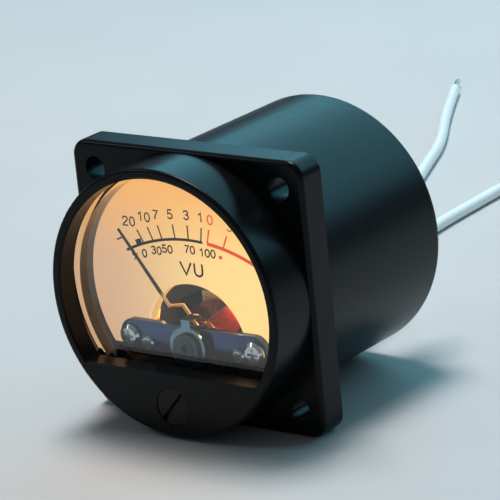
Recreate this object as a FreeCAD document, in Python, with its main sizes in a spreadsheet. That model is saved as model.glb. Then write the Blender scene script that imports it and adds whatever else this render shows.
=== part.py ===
import FreeCAD, Part
import math
import os
import re
import Sketcher

# Analog volume-unit panel meter, in millimetres.
# X runs to the right seen from the front, Y from the front to the rear, Z up.
# The origin is the centre of the flange's rear face, which seats on the panel.

# Driving sizes: name, value and meaning
SIZES = [
    ("flange_rim", 0.4, "how far the flange's sides stand out past the ring"),
    ("flange_thick", 4.0, "thickness of the flange"),
    ("flange_corner", 2.2, "corner radius of the flange"),
    ("flange_edge", 0.6, "rounding of the flange's front edge"),
    ("hole_inset", 3.5, "distance of a fixing hole from the flange's sides"),
    ("hole_radius", 1.5, "radius of a fixing hole"),
    ("ring_radius", 17.1, "outer radius of the bezel ring"),
    ("ring_height", 7.0, "height of the ring in front of the flange"),
    ("ring_edge", 0.4, "rounding of the ring's front edge"),
    ("lip_width", 1.3, "width of the lip in front of the window"),
    ("lip_depth", 2.8, "depth of the lip"),
    ("lip_bevel", 0.25, "bevel inside the lip"),
    ("bezel_wall", 0.85, "wall of the ring behind the lip"),
    ("window_drop", 2.3, "drop of the window's straight edge below the bridge screws"),
    ("lens_gap", 0.1, "clearance round the window"),
    ("lens_thick", 1.1, "thickness of the window"),
    ("lens_skirt", 0.8, "wall of the window's skirt"),
    ("skirt_depth", 2.65, "depth of the window's skirt"),
    ("lens_overlap", 0.6, "lap of the window behind the lower segment"),
    ("barrel_step", 0.2, "how much smaller the barrel is than the ring"),
    ("barrel_length", 24.9, "length of the barrel behind the flange"),
    ("case_wall", 1.5, "wall of the barrel's front part"),
    ("case_gap", 0.1, "clearance of the barrel's spigot in the bezel"),
    ("step_width", 1.0, "width of the step that the base rests on"),
    ("rear_wall", 1.6, "thickness of the rear wall"),
    ("case_edge", 0.7, "rounding of the barrel's rear edge"),
    ("seat_depth", 0.4, "depth of the barrel's seat in the flange"),
    ("seat_gap", 0.1, "clearance round the barrel's seat"),
    ("dial_face", 4.4, "height of the dial's face in front of the panel seat"),
    ("dial_thick", 0.5, "thickness of the dial"),
    ("dial_gap", 0.35, "clearance round the dial"),
    ("dial_drop", 1.5, "drop of the dial's straight edge below the bridge screws"),
    ("guide_thick", 1.5, "thickness of the light guide"),
    ("part_gap", 0.1, "general clearance between inner pieces"),
    ("wide_gap", 0.3, "general clearance round posts and moving pieces"),
    ("box_wall", 1.0, "wall of the light box"),
    ("board_length", 13.0, "length of the lamp board"),
    ("board_height", 5.0, "height of the lamp board"),
    ("board_thick", 1.2, "thickness of the lamp board"),
    ("board_inset", 6.3, "distance of the lamp board's centre from the light box's rim"),
    ("lamp_spacing", 8.0, "distance between the lamps"),
    ("lamp_radius", 1.5, "radius of a lamp's glass"),
    ("lamp_length", 5.0, "length of a lamp's glass"),
    ("cap_length", 2.0, "length of a lamp's cap"),
    ("base_thick", 2.0, "thickness of the movement base"),
    ("yoke_clear", 0.42, "room between the yoke and the case"),
    ("yoke_front", 1.5, "height of the yoke's front face over the panel seat"),
    ("yoke_length", 9.0, "length of the yoke"),
    ("yoke_wall", 2.2, "wall of the yoke"),
    ("rear_room", 2.0, "room behind the yoke"),
    ("air_gap", 0.25, "running gap of the coil's corners in the yoke"),
    ("core_radius", 4.3, "radius of the core magnet"),
    ("core_length", 7.8, "length of the core magnet"),
    ("core_front", 0.9, "height of the core's front face over the panel seat"),
    ("spacer_width", 4.0, "width of the blocks between core and yoke"),
    ("spacer_length", 6.0, "length of the blocks between core and yoke"),
    ("coil_gap", 0.35, "running gap of the coil over the core"),
    ("end_gap", 0.4, "running gap of the coil past the core's ends"),
    ("former_thick", 0.15, "thickness of the coil's metal frame"),
    ("winding_thick", 0.45, "thickness of the winding"),
    ("coil_width", 3.5, "width of the coil across its frame"),
    ("rim_thick", 0.2, "thickness of the frame's rims"),
    ("rim_rise", 0.1, "height of the frame's rims over the winding"),
    ("bush_radius", 1.2, "radius of a pivot bush"),
    ("bush_thick", 0.45, "thickness of a pivot bush"),
    ("staff_radius", 0.35, "radius of a pivot's staff"),
    ("collet_radius", 0.7, "radius of a spring collet"),
    ("point_length", 0.6, "length of a pivot's point"),
    ("rest_angle", 36.65, "angle of the pointer at rest, left of upright"),
    ("pointer_face", 4.85, "height of the pointer's outer stretch over the seat"),
    ("pointer_tip", 17.2, "radius of the pointer's tip"),
    ("pointer_width", 0.46, "width of the pointer at its root"),
    ("tip_width", 0.24, "width of the pointer at its tip"),
    ("pointer_thick", 0.22, "thickness of the pointer"),
    ("step_start", 5.05, "radius where the pointer steps forward"),
    ("step_end", 5.7, "radius where the step ends"),
    ("hub_radius", 1.0, "radius of the pointer's hub"),
    ("hub_thick", 0.5, "thickness of the pointer's hub"),
    ("arm_radius", 0.11, "radius of a balance arm"),
    ("arm_ring", 0.24, "thickness of the balance arms' ring"),
    ("tail_length", 3.6, "radius of the tail's end"),
    ("side_length", 2.3, "radius of a side arm's end"),
    ("weight_radius", 0.47, "radius of a balance weight"),
    ("weight_length", 1.5, "length of the tail's weight"),
    ("side_weight_length", 0.6, "length of a side arm's weight"),
    ("spring_width", 0.3, "width of a hairspring's strip"),
    ("spring_thick", 0.1, "thickness of a hairspring's strip"),
    ("spring_start", 0.72, "inner radius of a hairspring"),
    ("spring_turns", 4.0, "turns of a hairspring"),
    ("spring_level", 3.75, "height of the front spring's rear edge over the seat"),
    ("pillar_gap", 0.21, "room between the yoke and a bridge pillar"),
    ("bridge_lap", 1.66, "how far a bridge reaches past its screws"),
    ("bridge_height", 4.6, "height of the front bridge"),
    ("bridge_thick", 1.0, "thickness of the front bridge"),
    ("bridge_corner", 1.9, "corner radius of the front bridge"),
    ("bridge_edge", 0.2, "rounding of the front bridge's front edge"),
    ("boss_radius", 2.5, "radius of the bridge's boss"),
    ("boss_height", 0.7, "height of the bridge's boss"),
    ("collar_radius", 1.5, "radius of the collar under the lever"),
    ("lever_thick", 0.3, "thickness of the zero lever"),
    ("lever_play", 0.03, "play of the lever on its collar"),
    ("lever_radius", 2.7, "radius of the lever's disc"),
    ("tab_width", 1.3, "width of the lever's tab"),
    ("lug_radius", 3.35, "radius of the lug's underside"),
    ("lug_thick", 0.3, "thickness of the lug"),
    ("fork_width", 4.4, "width of the lever's lower arm"),
    ("fork_tail", 1.2, "length of the fork past the pin"),
    ("nut_radius", 1.95, "radius of a lock nut"),
    ("nut_thick", 0.4, "thickness of a lock nut"),
    ("jewel_radius", 1.1, "radius of a jewel screw"),
    ("jewel_proud", 0.1, "how far a jewel screw stands out of its nut"),
    ("jewel_recess", 0.55, "radius of the recess in a jewel screw"),
    ("cup_radius", 0.55, "mouth radius of a jewel's cup"),
    ("cup_depth", 0.7, "depth of a jewel's cup"),
    ("thread_gap", 0.02, "clearance of a thread"),
    ("screw_rise", 0.2, "height of a bridge screw above the pivot"),
    ("screw_head", 1.5, "radius of a bridge screw's head"),
    ("screw_height", 0.6, "height of a bridge screw's head"),
    ("screw_shank", 0.7, "radius of a bridge screw's shank"),
    ("screw_grip", 5.0, "length of a bridge screw's shank"),
    ("tie_fall", 0.5, "depth of a tie screw below the pivot"),
    ("tie_head", 0.98, "radius of a tie screw's head"),
    ("tie_height", 0.3, "height of a tie screw's head"),
    ("tie_shank", 0.4, "radius of a tie screw's shank"),
    ("tie_bite", 2.0, "length of a tie screw in the yoke"),
    ("tie_tube", 0.6, "radius of a tie spacer"),
    ("pillar_radius", 1.25, "radius of a bridge pillar"),
    ("lever_reach", 6.3, "distance from the pivot down to the zero screw"),
    ("zero_head", 2.35, "radius of the zero screw's head"),
    ("zero_depth", 1.3, "depth of the zero screw's seat"),
    ("zero_sink", 0.1, "how far the zero screw's head is sunk"),
    ("zero_gap", 0.08, "clearance of the zero screw"),
    ("zero_shaft", 1.25, "radius of the zero screw's shaft"),
    ("zero_collar", 1.75, "radius of the zero screw's collar"),
    ("collar_thick", 0.6, "thickness of the zero screw's collar"),
    ("slot_width", 0.6, "width of the zero screw's slot"),
    ("slot_depth", 0.6, "depth of the zero screw's slot"),
    ("slot_angle", 42.0, "lean of the zero screw's slot to the right"),
    ("pin_offset", 0.8, "eccentricity of the zero screw's pin"),
    ("pin_radius", 0.4, "radius of the zero screw's pin"),
    ("pin_play", 0.14, "play of the pin in the fork"),
    ("stud_spacing", 17.0, "distance between the terminals"),
    ("stud_rise", 2.0, "height of the terminals above the axis"),
    ("stud_radius", 1.5, "radius of a terminal stud"),
    ("stud_root", 1.25, "radius of a stud under its nut"),
    ("stud_relief", 0.3, "plain neck between a nut and the free thread"),
    ("stud_length", 8.5, "length of a stud behind the case"),
    ("stud_head", 2.6, "radius of a stud's inner head"),
    ("stud_grip", 1.2, "thickness of a stud's inner head"),
    ("washer_radius", 3.2, "radius of a terminal washer"),
    ("washer_thick", 0.5, "thickness of a terminal washer"),
    ("tag_width", 3.6, "width of a solder tag"),
    ("tag_length", 9.0, "length of a solder tag below its stud"),
    ("tag_thick", 0.4, "thickness of a solder tag"),
    ("tag_hole", 0.9, "radius of a solder tag's wire hole"),
    ("hex_width", 5.5, "width of a terminal nut across its flats"),
    ("hex_thick", 2.2, "thickness of a terminal nut"),
    ("fixing_spacing", 21.0, "distance between the case screws"),
    ("fixing_rise", 7.5, "height of the case screws above the axis"),
    ("fixing_head", 1.9, "radius of a case screw's head"),
    ("fixing_height", 1.2, "height of a case screw's head"),
    ("fixing_shank", 0.95, "radius of a case screw's shank"),
    ("fixing_tube", 2.1, "radius of the tube round a case screw"),
    ("fixing_bite", 1.4, "length of a case screw in the base"),
    ("lead_radius", 0.9, "radius of a lamp lead"),
    ("lead_spacing", 2.2, "distance between the leads at their exit"),
    ("lead_inset", 7.9, "distance of the leads' exit from the barrel's side"),
    ("grommet_neck", 2.6, "radius of the grommet in the wall"),
    ("grommet_rim", 3.5, "radius of the grommet's rims"),
    ("rim_height", 1.3, "thickness of a grommet rim"),
    ("tip_radius", 0.45, "radius of a stripped lead end"),
    ("tip_length", 5.0, "length of a stripped lead end"),
    ("wire_radius", 0.45, "radius of an inner wire"),
    ("anchor_width", 1.2, "width of the rear spring's lug"),
]

doc = FreeCAD.newDocument("PanelMeter")
sheet = doc.addObject("Spreadsheet::Sheet", "Sizes")
for row, (alias, number, meaning) in enumerate(SIZES, start=1):
    sheet.set(f"A{row}", alias)
    sheet.set(f"B{row}", str(number))
    sheet.set(f"C{row}", meaning)
    sheet.setAlias(f"B{row}", alias)
doc.recompute()

# Places and sizes that follow from the driving ones
FLANGE_HALF = "(ring_radius + flange_rim)"
HOLE_PLACE = f"({FLANGE_HALF} - hole_inset)"
BARREL = "(ring_radius - barrel_step)"
RING_FRONT = "(-flange_thick - ring_height)"
BORE = "(ring_radius - bezel_wall)"
LENS_FRONT = f"({RING_FRONT} + lip_depth)"
LENS_BACK = f"({LENS_FRONT} + lens_thick)"
LENS_RADIUS = f"({BORE} - lens_gap)"
CASE_BORE = f"({BARREL} - case_wall)"
DIAL_BACK = "(dial_thick - dial_face)"
GUIDE_BACK = f"({DIAL_BACK} + guide_thick)"
GUIDE_RADIUS = f"({CASE_BORE} - part_gap)"
CASE_INSIDE = "(barrel_length - rear_wall)"
COIL_INNER = "(core_radius + coil_gap)"
COIL_OUTER = f"({COIL_INNER} + former_thick + winding_thick + rim_rise)"
YOKE_BORE = f"(sqrt({COIL_OUTER} ^ 2 + (coil_width / 2) ^ 2) + air_gap)"
YOKE_RADIUS = f"({YOKE_BORE} + yoke_wall)"
PIVOT = f"(-({CASE_BORE} - {YOKE_RADIUS} - yoke_clear))"
YOKE_BACK = "(yoke_length - yoke_front)"
BASE_FRONT = f"({YOKE_BACK} + rear_room)"
BASE_BACK = f"({BASE_FRONT} + base_thick)"
CORE_BACK = "(core_length - core_front)"
COIL_FRONT = "(-core_front - end_gap - former_thick - winding_thick - rim_rise)"
COIL_BACK = f"({CORE_BACK} + end_gap + former_thick + winding_thick + rim_rise)"
BRIDGE_FRONT = "(-dial_face - bridge_thick)"
BOSS_FRONT = f"({BRIDGE_FRONT} - boss_height)"
COLLAR_FRONT = f"({BOSS_FRONT} - lever_thick - 2 * lever_play)"
NUT_FRONT = f"({COLLAR_FRONT} - nut_thick)"
HUB_BACK = f"({COIL_FRONT} - bush_thick)"
HUB_FRONT = f"({HUB_BACK} - hub_thick)"
ARM_MIDDLE = f"({HUB_FRONT} - arm_ring / 2)"
SCREW_X = f"({YOKE_RADIUS} + pillar_gap + pillar_radius)"
BRIDGE_HALF = f"({SCREW_X} + bridge_lap)"
SCREW_Z = f"({PIVOT} + screw_rise)"
TIE_RING = f"({YOKE_BORE} + yoke_wall / 2)"
TIE_X = f"sqrt({TIE_RING} ^ 2 - tie_fall ^ 2)"
DIAL_HOLE = f"({TIE_RING} + tie_tube + thread_gap)"
LEAD_DROP = f"({BARREL} - lead_inset)"
TIE_Z = f"({PIVOT} - tie_fall)"
ZERO_Z = f"({PIVOT} - lever_reach)"
WINDOW_CHORD = f"(window_drop - {SCREW_Z})"
DIAL_CHORD = f"(dial_drop - {SCREW_Z})"
BOARD_Z = f"({GUIDE_RADIUS} - board_inset)"
REST = "rest_angle"
ALONG_Y = FreeCAD.Rotation(FreeCAD.Vector(1, 0, 0), -90)
nodes = []


def bound(text):
    """Turns the names of sizes in an expression into references to the sheet."""
    return re.sub(r"[a-z]+(?:_[a-z]+)+", lambda name: "Sizes." + name.group(0), str(text))


def value(text):
    """The number that an expression of sizes gives."""
    return float(sheet.evalExpression(bound(text)))


def bind(thing, settings):
    """Ties properties of an object to expressions of sizes."""
    for name, text in settings.items():
        thing.setExpression(name, bound(text))


def put(thing, x="0", y="0", z="0", turn=None):
    """Places an object, and leans it to the left about the Y direction by an angle."""
    if turn is not None:
        lean = FreeCAD.Rotation(FreeCAD.Vector(0, -1, 0), value(turn))
        thing.Placement = FreeCAD.Placement(FreeCAD.Vector(), lean)
        bind(thing, {"Placement.Rotation.Angle": turn})
    bind(thing, {"Placement.Base.x": x, "Placement.Base.y": y, "Placement.Base.z": z})
    return thing


def rod(radius, front, back, x="0", z="0"):
    """A round bar along Y between two depths."""
    bar = doc.addObject("Part::Cylinder", "Rod")
    bar.Placement = FreeCAD.Placement(FreeCAD.Vector(), ALONG_Y)
    bind(bar, {"Radius": radius, "Height": f"{back} - ({front})"})
    return put(bar, x, front, z)


def taper(front_radius, back_radius, front, back, x="0", z="0"):
    """A cone along Y between two depths."""
    cone = doc.addObject("Part::Cone", "Taper")
    cone.Placement = FreeCAD.Placement(FreeCAD.Vector(), ALONG_Y)
    bind(cone, {"Radius1": front_radius, "Radius2": back_radius, "Height": f"{back} - ({front})"})
    return put(cone, x, front, z)


def block(x, y, z):
    """A box given by its lowest and highest place along each direction."""
    box = doc.addObject("Part::Box", "Block")
    bind(box, {"Length": f"{x[1]} - ({x[0]})", "Width": f"{y[1]} - ({y[0]})"})
    bind(box, {"Height": f"{z[1]} - ({z[0]})"})
    return put(box, x[0], y[0], z[0])


def fuse(*things):
    """One solid made of several."""
    joined = doc.addObject("Part::MultiFuse", "Fuse")
    joined.Shapes = list(things)
    return joined


def cut(base, *tools):
    """A solid with others taken away from it."""
    carved = doc.addObject("Part::Cut", "Cut")
    carved.Base = base
    carved.Tool = tools[0] if len(tools) == 1 else fuse(*tools)
    return carved


def group(*things):
    """Separate solids that share a node."""
    several = doc.addObject("Part::Compound", "Group")
    several.Links = list(things)
    return several


def node(label, thing):
    """Names a finished sub-part."""
    thing.Label = label
    nodes.append(thing)
    return thing


def plane(body, role):
    """One of a body's own origin planes."""
    return next(face for face in body.Origin.OriginFeatures if face.Role == role)


def sketch(body, name, role, depth="0"):
    """A sketch on an origin plane; on XZ_Plane it lies at the given depth along Y."""
    drawing = body.newObject("Sketcher::SketchObject", name)
    drawing.AttachmentSupport = [(plane(body, role), "")]
    drawing.MapMode = "FlatFace"
    bind(drawing, {"AttachmentOffset.Base.z": f"0 - ({depth})"})
    return drawing


def hold(drawing, index, point, across, up):
    """Ties a point of a sketch to its distances from the sketch's origin."""
    for kind, axis, text in (("DistanceX", -2, across), ("DistanceY", -1, up)):
        if text == "0":
            drawing.addConstraint(Sketcher.Constraint("PointOnObject", index, point, axis))
            continue
        number = value(text)
        if number < 0:
            row = drawing.addConstraint(Sketcher.Constraint(kind, index, point, -1, 1, -number))
            bind(drawing, {f"Constraints[{row}]": f"0 - ({text})"})
        else:
            row = drawing.addConstraint(Sketcher.Constraint(kind, -1, 1, index, point, number))
            bind(drawing, {f"Constraints[{row}]": text})


def outline(drawing, corners):
    """A closed outline of straight lines through corners given by expressions."""
    places = [FreeCAD.Vector(value(across), value(up), 0) for across, up in corners]
    first = drawing.GeometryCount
    for number, place in enumerate(places):
        drawing.addGeometry(Part.LineSegment(place, places[(number + 1) % len(places)]))
    for number, (across, up) in enumerate(corners):
        after = first + (number + 1) % len(corners)
        drawing.addConstraint(Sketcher.Constraint("Coincident", first + number, 2, after, 1))
        hold(drawing, first + number, 1, across, up)


def circle(drawing, radius, across="0", up="0"):
    """A circle given by its radius and centre."""
    centre = FreeCAD.Vector(value(across), value(up), 0)
    index = drawing.addGeometry(Part.Circle(centre, FreeCAD.Vector(0, 0, 1), value(radius)))
    row = drawing.addConstraint(Sketcher.Constraint("Radius", index, value(radius)))
    bind(drawing, {f"Constraints[{row}]": radius})
    hold(drawing, index, 3, across, up)


def dee(drawing, radius, chord):
    """A round outline with a straight lower edge."""
    lean = math.asin(value(chord) / value(radius))
    ring = Part.Circle(FreeCAD.Vector(), FreeCAD.Vector(0, 0, 1), value(radius))
    arc = drawing.addGeometry(Part.ArcOfCircle(ring, -lean, math.pi + lean))
    left = FreeCAD.Vector(-value(radius) * math.cos(lean), -value(chord), 0)
    right = FreeCAD.Vector(-left.x, left.y, 0)
    line = drawing.addGeometry(Part.LineSegment(left, right))
    drawing.addConstraint(Sketcher.Constraint("Coincident", arc, 3, -1, 1))
    drawing.addConstraint(Sketcher.Constraint("Coincident", arc, 2, line, 1))
    drawing.addConstraint(Sketcher.Constraint("Coincident", line, 2, arc, 1))
    drawing.addConstraint(Sketcher.Constraint("Horizontal", line))
    row = drawing.addConstraint(Sketcher.Constraint("Radius", arc, value(radius)))
    bind(drawing, {f"Constraints[{row}]": radius})
    row = drawing.addConstraint(Sketcher.Constraint("DistanceY", line, 1, -1, 1, value(chord)))
    bind(drawing, {f"Constraints[{row}]": chord})


def pad(body, drawing, length):
    """Adds material from a sketch towards the front."""
    feature = body.newObject("PartDesign::Pad", "Pad")
    feature.Profile = drawing
    bind(feature, {"Length": length})
    return feature


def pocket(body, drawing, length):
    """Takes material away from a sketch towards the rear."""
    feature = body.newObject("PartDesign::Pocket", "Pocket")
    feature.Profile = drawing
    bind(feature, {"Length": length})
    return feature


def round_edges(body, radius, wanted, kind="PartDesign::Fillet"):
    """Rounds or bevels the edges of a body's latest feature that pass a test."""
    doc.recompute()
    base = body.Tip
    names = [f"Edge{n}" for n, edge in enumerate(base.Shape.Edges, start=1) if wanted(edge)]
    feature = body.newObject(kind, "Edges")
    feature.Base = (base, names)
    bind(feature, {"Radius" if kind.endswith("Fillet") else "Size": radius})
    return feature


def lies_at(depth):
    """A test for edges that lie in a plane across Y."""
    return lambda edge: all(abs(v.Point.y - value(depth)) < 1e-4 for v in edge.Vertexes)


# Front bezel: flange, ring with its lip, lower segment, holes
def make_bezel():
    body = doc.addObject("PartDesign::Body", "Bezel")
    half = FLANGE_HALF
    square = sketch(body, "FlangeOutline", "XZ_Plane")
    low = f"0 - {half}"
    outline(square, [(low, low), (half, low), (half, half), (low, half)])
    pad(body, square, "flange_thick")
    round_edges(body, "flange_corner", lambda edge: len({round(v.X, 3) for v in edge.Vertexes}) == 1
                and len({round(v.Z, 3) for v in edge.Vertexes}) == 1)
    round_edges(body, "flange_edge", lies_at("0 - flange_thick"))
    ring = sketch(body, "RingOutline", "XZ_Plane", "0 - flange_thick")
    circle(ring, "ring_radius")
    pad(body, ring, "ring_height")
    round_edges(body, "ring_edge", lies_at(RING_FRONT))
    bore = sketch(body, "BoreOutline", "XZ_Plane", LENS_FRONT)
    circle(bore, BORE)
    pocket(body, bore, f"0 - {LENS_FRONT}")
    seat = sketch(body, "BarrelSeat", "XZ_Plane", "0 - seat_depth")
    circle(seat, f"{BARREL} + seat_gap")
    pocket(body, seat, "seat_depth")
    window = sketch(body, "WindowOutline", "XZ_Plane", RING_FRONT)
    dee(window, "ring_radius - lip_width", WINDOW_CHORD)
    pocket(body, window, "lip_depth")
    inner = value("ring_radius - lip_width")

    def window_edge(edge):
        on_front = lies_at(RING_FRONT)(edge)
        return on_front and all(math.hypot(v.X, v.Z) < inner + 0.01 for v in edge.Vertexes)

    round_edges(body, "lip_bevel", window_edge, "PartDesign::Chamfer")
    seat = sketch(body, "ZeroSeat", "XZ_Plane", RING_FRONT)
    circle(seat, "zero_head + zero_gap", "0", ZERO_Z)
    pocket(body, seat, "zero_depth")
    way = sketch(body, "ZeroWay", "XZ_Plane", RING_FRONT)
    circle(way, "zero_shaft + zero_gap", "0", ZERO_Z)
    pocket(body, way, "lip_depth")
    hole = sketch(body, "FixingHole", "XZ_Plane", "0 - flange_thick")
    circle(hole, "hole_radius", HOLE_PLACE, HOLE_PLACE)
    drilled = pocket(body, hole, "flange_thick")
    doc.recompute()
    around = body.newObject("PartDesign::PolarPattern", "FixingHoles")
    around.Originals = [drilled]
    around.Axis = (plane(body, "Y_Axis"), [""])
    around.Angle = 360
    around.Occurrences = 4
    body.Tip = around
    return body


# Clear window: a D-shaped plate with a skirt along its round edge
def make_window():
    body = doc.addObject("PartDesign::Body", "Window")
    skirt_back = f"{LENS_BACK} + skirt_depth"
    chord = f"{WINDOW_CHORD} + lens_overlap"
    plate = sketch(body, "PlateOutline", "XZ_Plane", skirt_back)
    dee(plate, LENS_RADIUS, chord)
    pad(body, plate, "skirt_depth + lens_thick")
    doc.recompute()
    hollow = sketch(body, "SkirtInside", "XZ_Plane", LENS_BACK)
    dee(hollow, f"{LENS_RADIUS} - lens_skirt", f"{chord} + lens_skirt")
    pocket(body, hollow, "skirt_depth")
    return body


# Rear case: a turned cup with a spigot in front, two screw tubes and its holes
def make_case():
    body = doc.addObject("PartDesign::Body", "Case")
    spigot = f"({BORE} - case_gap)"
    shoulder = "(0 - seat_depth)"
    step = f"({CASE_BORE} - step_width)"
    section = sketch(body, "CaseSection", "YZ_Plane")
    outline(section, [
        (DIAL_BACK, CASE_BORE), (DIAL_BACK, spigot), (shoulder, spigot), (shoulder, BARREL),
        ("barrel_length", BARREL), ("barrel_length", "0"), (CASE_INSIDE, "0"),
        (CASE_INSIDE, step), (BASE_BACK, step), (BASE_BACK, CASE_BORE),
    ])
    turned = body.newObject("PartDesign::Revolution", "Cup")
    turned.Profile = section
    turned.ReferenceAxis = (section, ["H_Axis"])
    turned.Angle = 360
    round_edges(body, "case_edge", lambda edge: lies_at("barrel_length")(edge))
    half = "fixing_spacing / 2"
    high = "fixing_rise"
    tubes = sketch(body, "ScrewTubes", "XZ_Plane", CASE_INSIDE)
    circle(tubes, "fixing_tube", half, high)
    circle(tubes, "fixing_tube", f"0 - {half}", high)
    pad(body, tubes, f"{CASE_INSIDE} - {BASE_BACK}")
    ways = sketch(body, "ScrewWays", "XZ_Plane", BASE_BACK)
    circle(ways, "fixing_shank + part_gap", half, high)
    circle(ways, "fixing_shank + part_gap", f"0 - {half}", high)
    pocket(body, ways, f"barrel_length - {BASE_BACK}")
    holes = sketch(body, "RearHoles", "XZ_Plane", CASE_INSIDE)
    circle(holes, "stud_radius + part_gap", "stud_spacing / 2", "stud_rise")
    circle(holes, "stud_radius + part_gap", "0 - stud_spacing / 2", "stud_rise")
    circle(holes, "grommet_neck", "0", f"0 - {LEAD_DROP}")
    pocket(body, holes, "rear_wall")
    return body


# Dial: a thin plate with a round hole round the pivot and two screw holes
def make_dial():
    body = doc.addObject("PartDesign::Body", "Dial")
    plate = sketch(body, "DialOutline", "XZ_Plane", DIAL_BACK)
    dee(plate, f"{BORE} - dial_gap", DIAL_CHORD)
    pad(body, plate, "dial_thick")
    doc.recompute()
    holes = sketch(body, "DialHoles", "XZ_Plane", "0 - dial_face")
    circle(holes, DIAL_HOLE, "0", PIVOT)
    circle(holes, "screw_shank + part_gap", SCREW_X, SCREW_Z)
    circle(holes, "screw_shank + part_gap", f"0 - {SCREW_X}", SCREW_Z)
    pocket(body, holes, "dial_thick")
    return body


# Light guide: a thicker clear plate behind the dial, which ends above the pillars
def make_guide():
    body = doc.addObject("PartDesign::Body", "Guide")
    plate = sketch(body, "GuideOutline", "XZ_Plane", GUIDE_BACK)
    dee(plate, GUIDE_RADIUS, f"0 - {SCREW_Z} - pillar_radius - wide_gap")
    pad(body, plate, "guide_thick")
    doc.recompute()
    hole = sketch(body, "GuideHole", "XZ_Plane", DIAL_BACK)
    circle(hole, DIAL_HOLE, "0", PIVOT)
    pocket(body, hole, "guide_thick")
    return body


# Light box: a white tray behind the light guide, open towards the movement
def make_light_box():
    floor = f"{BASE_FRONT} - box_wall"
    outside = rod(GUIDE_RADIUS, GUIDE_BACK, BASE_FRONT)
    inside = rod(f"{GUIDE_RADIUS} - box_wall", GUIDE_BACK, f"({floor})")
    movement = rod(f"{YOKE_RADIUS} + wide_gap", GUIDE_BACK, BASE_FRONT, z=PIVOT)
    wide = "ring_radius"
    below = block((f"0 - {wide}", wide), (GUIDE_BACK, BASE_FRONT),
                  (f"0 - {wide}", f"({SCREW_Z} + pillar_radius + wide_gap)"))
    wires = [rod("wire_radius + part_gap", f"({floor})", BASE_FRONT, x, BOARD_Z)
             for x in ("lead_spacing / 2", "0 - lead_spacing / 2")]
    return cut(outside, inside, movement, below, *wires)


# Lamps: a board on the light box's floor, two glass lamps and their caps
def make_lamps():
    back = f"({BASE_FRONT} - box_wall)"
    front = f"({back} - board_thick)"
    half = "board_length / 2"
    slab = block((f"0 - {half}", half), (front, back),
                 (f"({BOARD_Z} - board_height / 2)", f"({BOARD_Z} + board_height / 2)"))
    board = node("lamp_board", slab)
    glasses = []
    caps = []
    for x in ("lamp_spacing / 2", "0 - lamp_spacing / 2"):
        rim = f"({front} - cap_length)"
        caps.append(rod("lamp_radius + part_gap", rim, front, x, BOARD_Z))
        tube = rod("lamp_radius", f"({rim} - lamp_length)", rim, x, BOARD_Z)
        dome = doc.addObject("Part::Sphere", "Dome")
        bind(dome, {"Radius": "lamp_radius"})
        put(dome, x, f"{rim} - lamp_length", BOARD_Z)
        glasses.append(fuse(tube, dome))
    node("lamp_bulbs", group(*glasses))
    node("lamp_caps", group(*caps))
    return board


# Movement base: a plate on the case's step, with a bed for the rear bridge
def make_base():
    disc = rod(GUIDE_RADIUS, BASE_FRONT, BASE_BACK)
    bed_half = f"({BRIDGE_HALF} + part_gap)"
    bed_height = "(bridge_height / 2 + part_gap)"
    bed = block((f"0 - {bed_half}", bed_half), (BASE_FRONT, f"({BASE_FRONT} + bridge_thick)"),
                (f"({PIVOT} - {bed_height})", f"({PIVOT} + {bed_height})"))
    tools = [bed, rod("nut_radius + wide_gap", BASE_FRONT, BASE_BACK, z=PIVOT)]
    for side in ("", "0 - "):
        tools.append(rod("screw_shank + thread_gap", BASE_FRONT, BASE_BACK,
                         f"{side}{SCREW_X}", SCREW_Z))
        tools.append(rod("tie_head + wide_gap", BASE_FRONT, BASE_BACK, f"{side}{TIE_X}", TIE_Z))
        tools.append(rod("fixing_shank + thread_gap", f"({BASE_BACK} - fixing_bite)", BASE_BACK,
                         f"{side}fixing_spacing / 2", "fixing_rise"))
        tools.append(rod("wire_radius + part_gap", BASE_FRONT, BASE_BACK,
                         f"{side}lead_spacing / 2", BOARD_Z))
        tools.append(rod("wire_radius + part_gap", BASE_FRONT, BASE_BACK,
                         f"{side}stud_spacing / 2", "stud_rise"))
    return cut(disc, *tools)


def pan_screw(radius, height, shank, seat, reach, x, z, rear=False):
    """A cross-recess screw whose head faces the front, or the rear."""
    way = "-" if rear else "+"
    back = "+" if rear else "-"
    top = f"({seat} {back} {height})"
    waist = f"({seat} {back} {height} / 2)"
    end = f"({seat} {way} {reach})"
    small = f"{radius} * 0.72"
    if rear:
        head = fuse(rod(radius, seat, waist, x, z), taper(radius, small, waist, top, x, z))
        stem = rod(shank, end, seat, x, z)
        deep = (f"({top} - {height} * 0.6)", top)
    else:
        head = fuse(rod(radius, waist, seat, x, z), taper(small, radius, top, waist, x, z))
        stem = rod(shank, seat, end, x, z)
        deep = (top, f"({top} + {height} * 0.6)")
    arm = f"{radius} * 0.5"
    thin = f"{radius} * 0.13"
    cross = [block((f"({x} - {a})", f"({x} + {a})"), deep, (f"({z} - {b})", f"({z} + {b})"))
             for a, b in ((arm, thin), (thin, arm))]
    return cut(fuse(head, stem), *cross)


# Pillars under the front bridge's ends, and the screws at both ends of them
def make_pillars():
    posts = []
    front_screws = []
    rear_screws = []
    for x in (SCREW_X, f"(0 - {SCREW_X})"):
        post = rod("pillar_radius", DIAL_BACK, BASE_FRONT, x, SCREW_Z)
        way = rod("screw_shank + thread_gap", DIAL_BACK, BASE_FRONT, x, SCREW_Z)
        posts.append(cut(post, way))
        front_screws.append(pan_screw("screw_head", "screw_height", "screw_shank", BRIDGE_FRONT,
                                      "screw_grip", x, SCREW_Z))
        rear_screws.append(pan_screw("screw_head", "screw_height", "screw_shank", BASE_BACK,
                                     "screw_grip", x, SCREW_Z, rear=True))
    node("bridge_pillars", group(*posts))
    node("bridge_screws", group(*front_screws))
    node("base_screws", group(*rear_screws))


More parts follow.
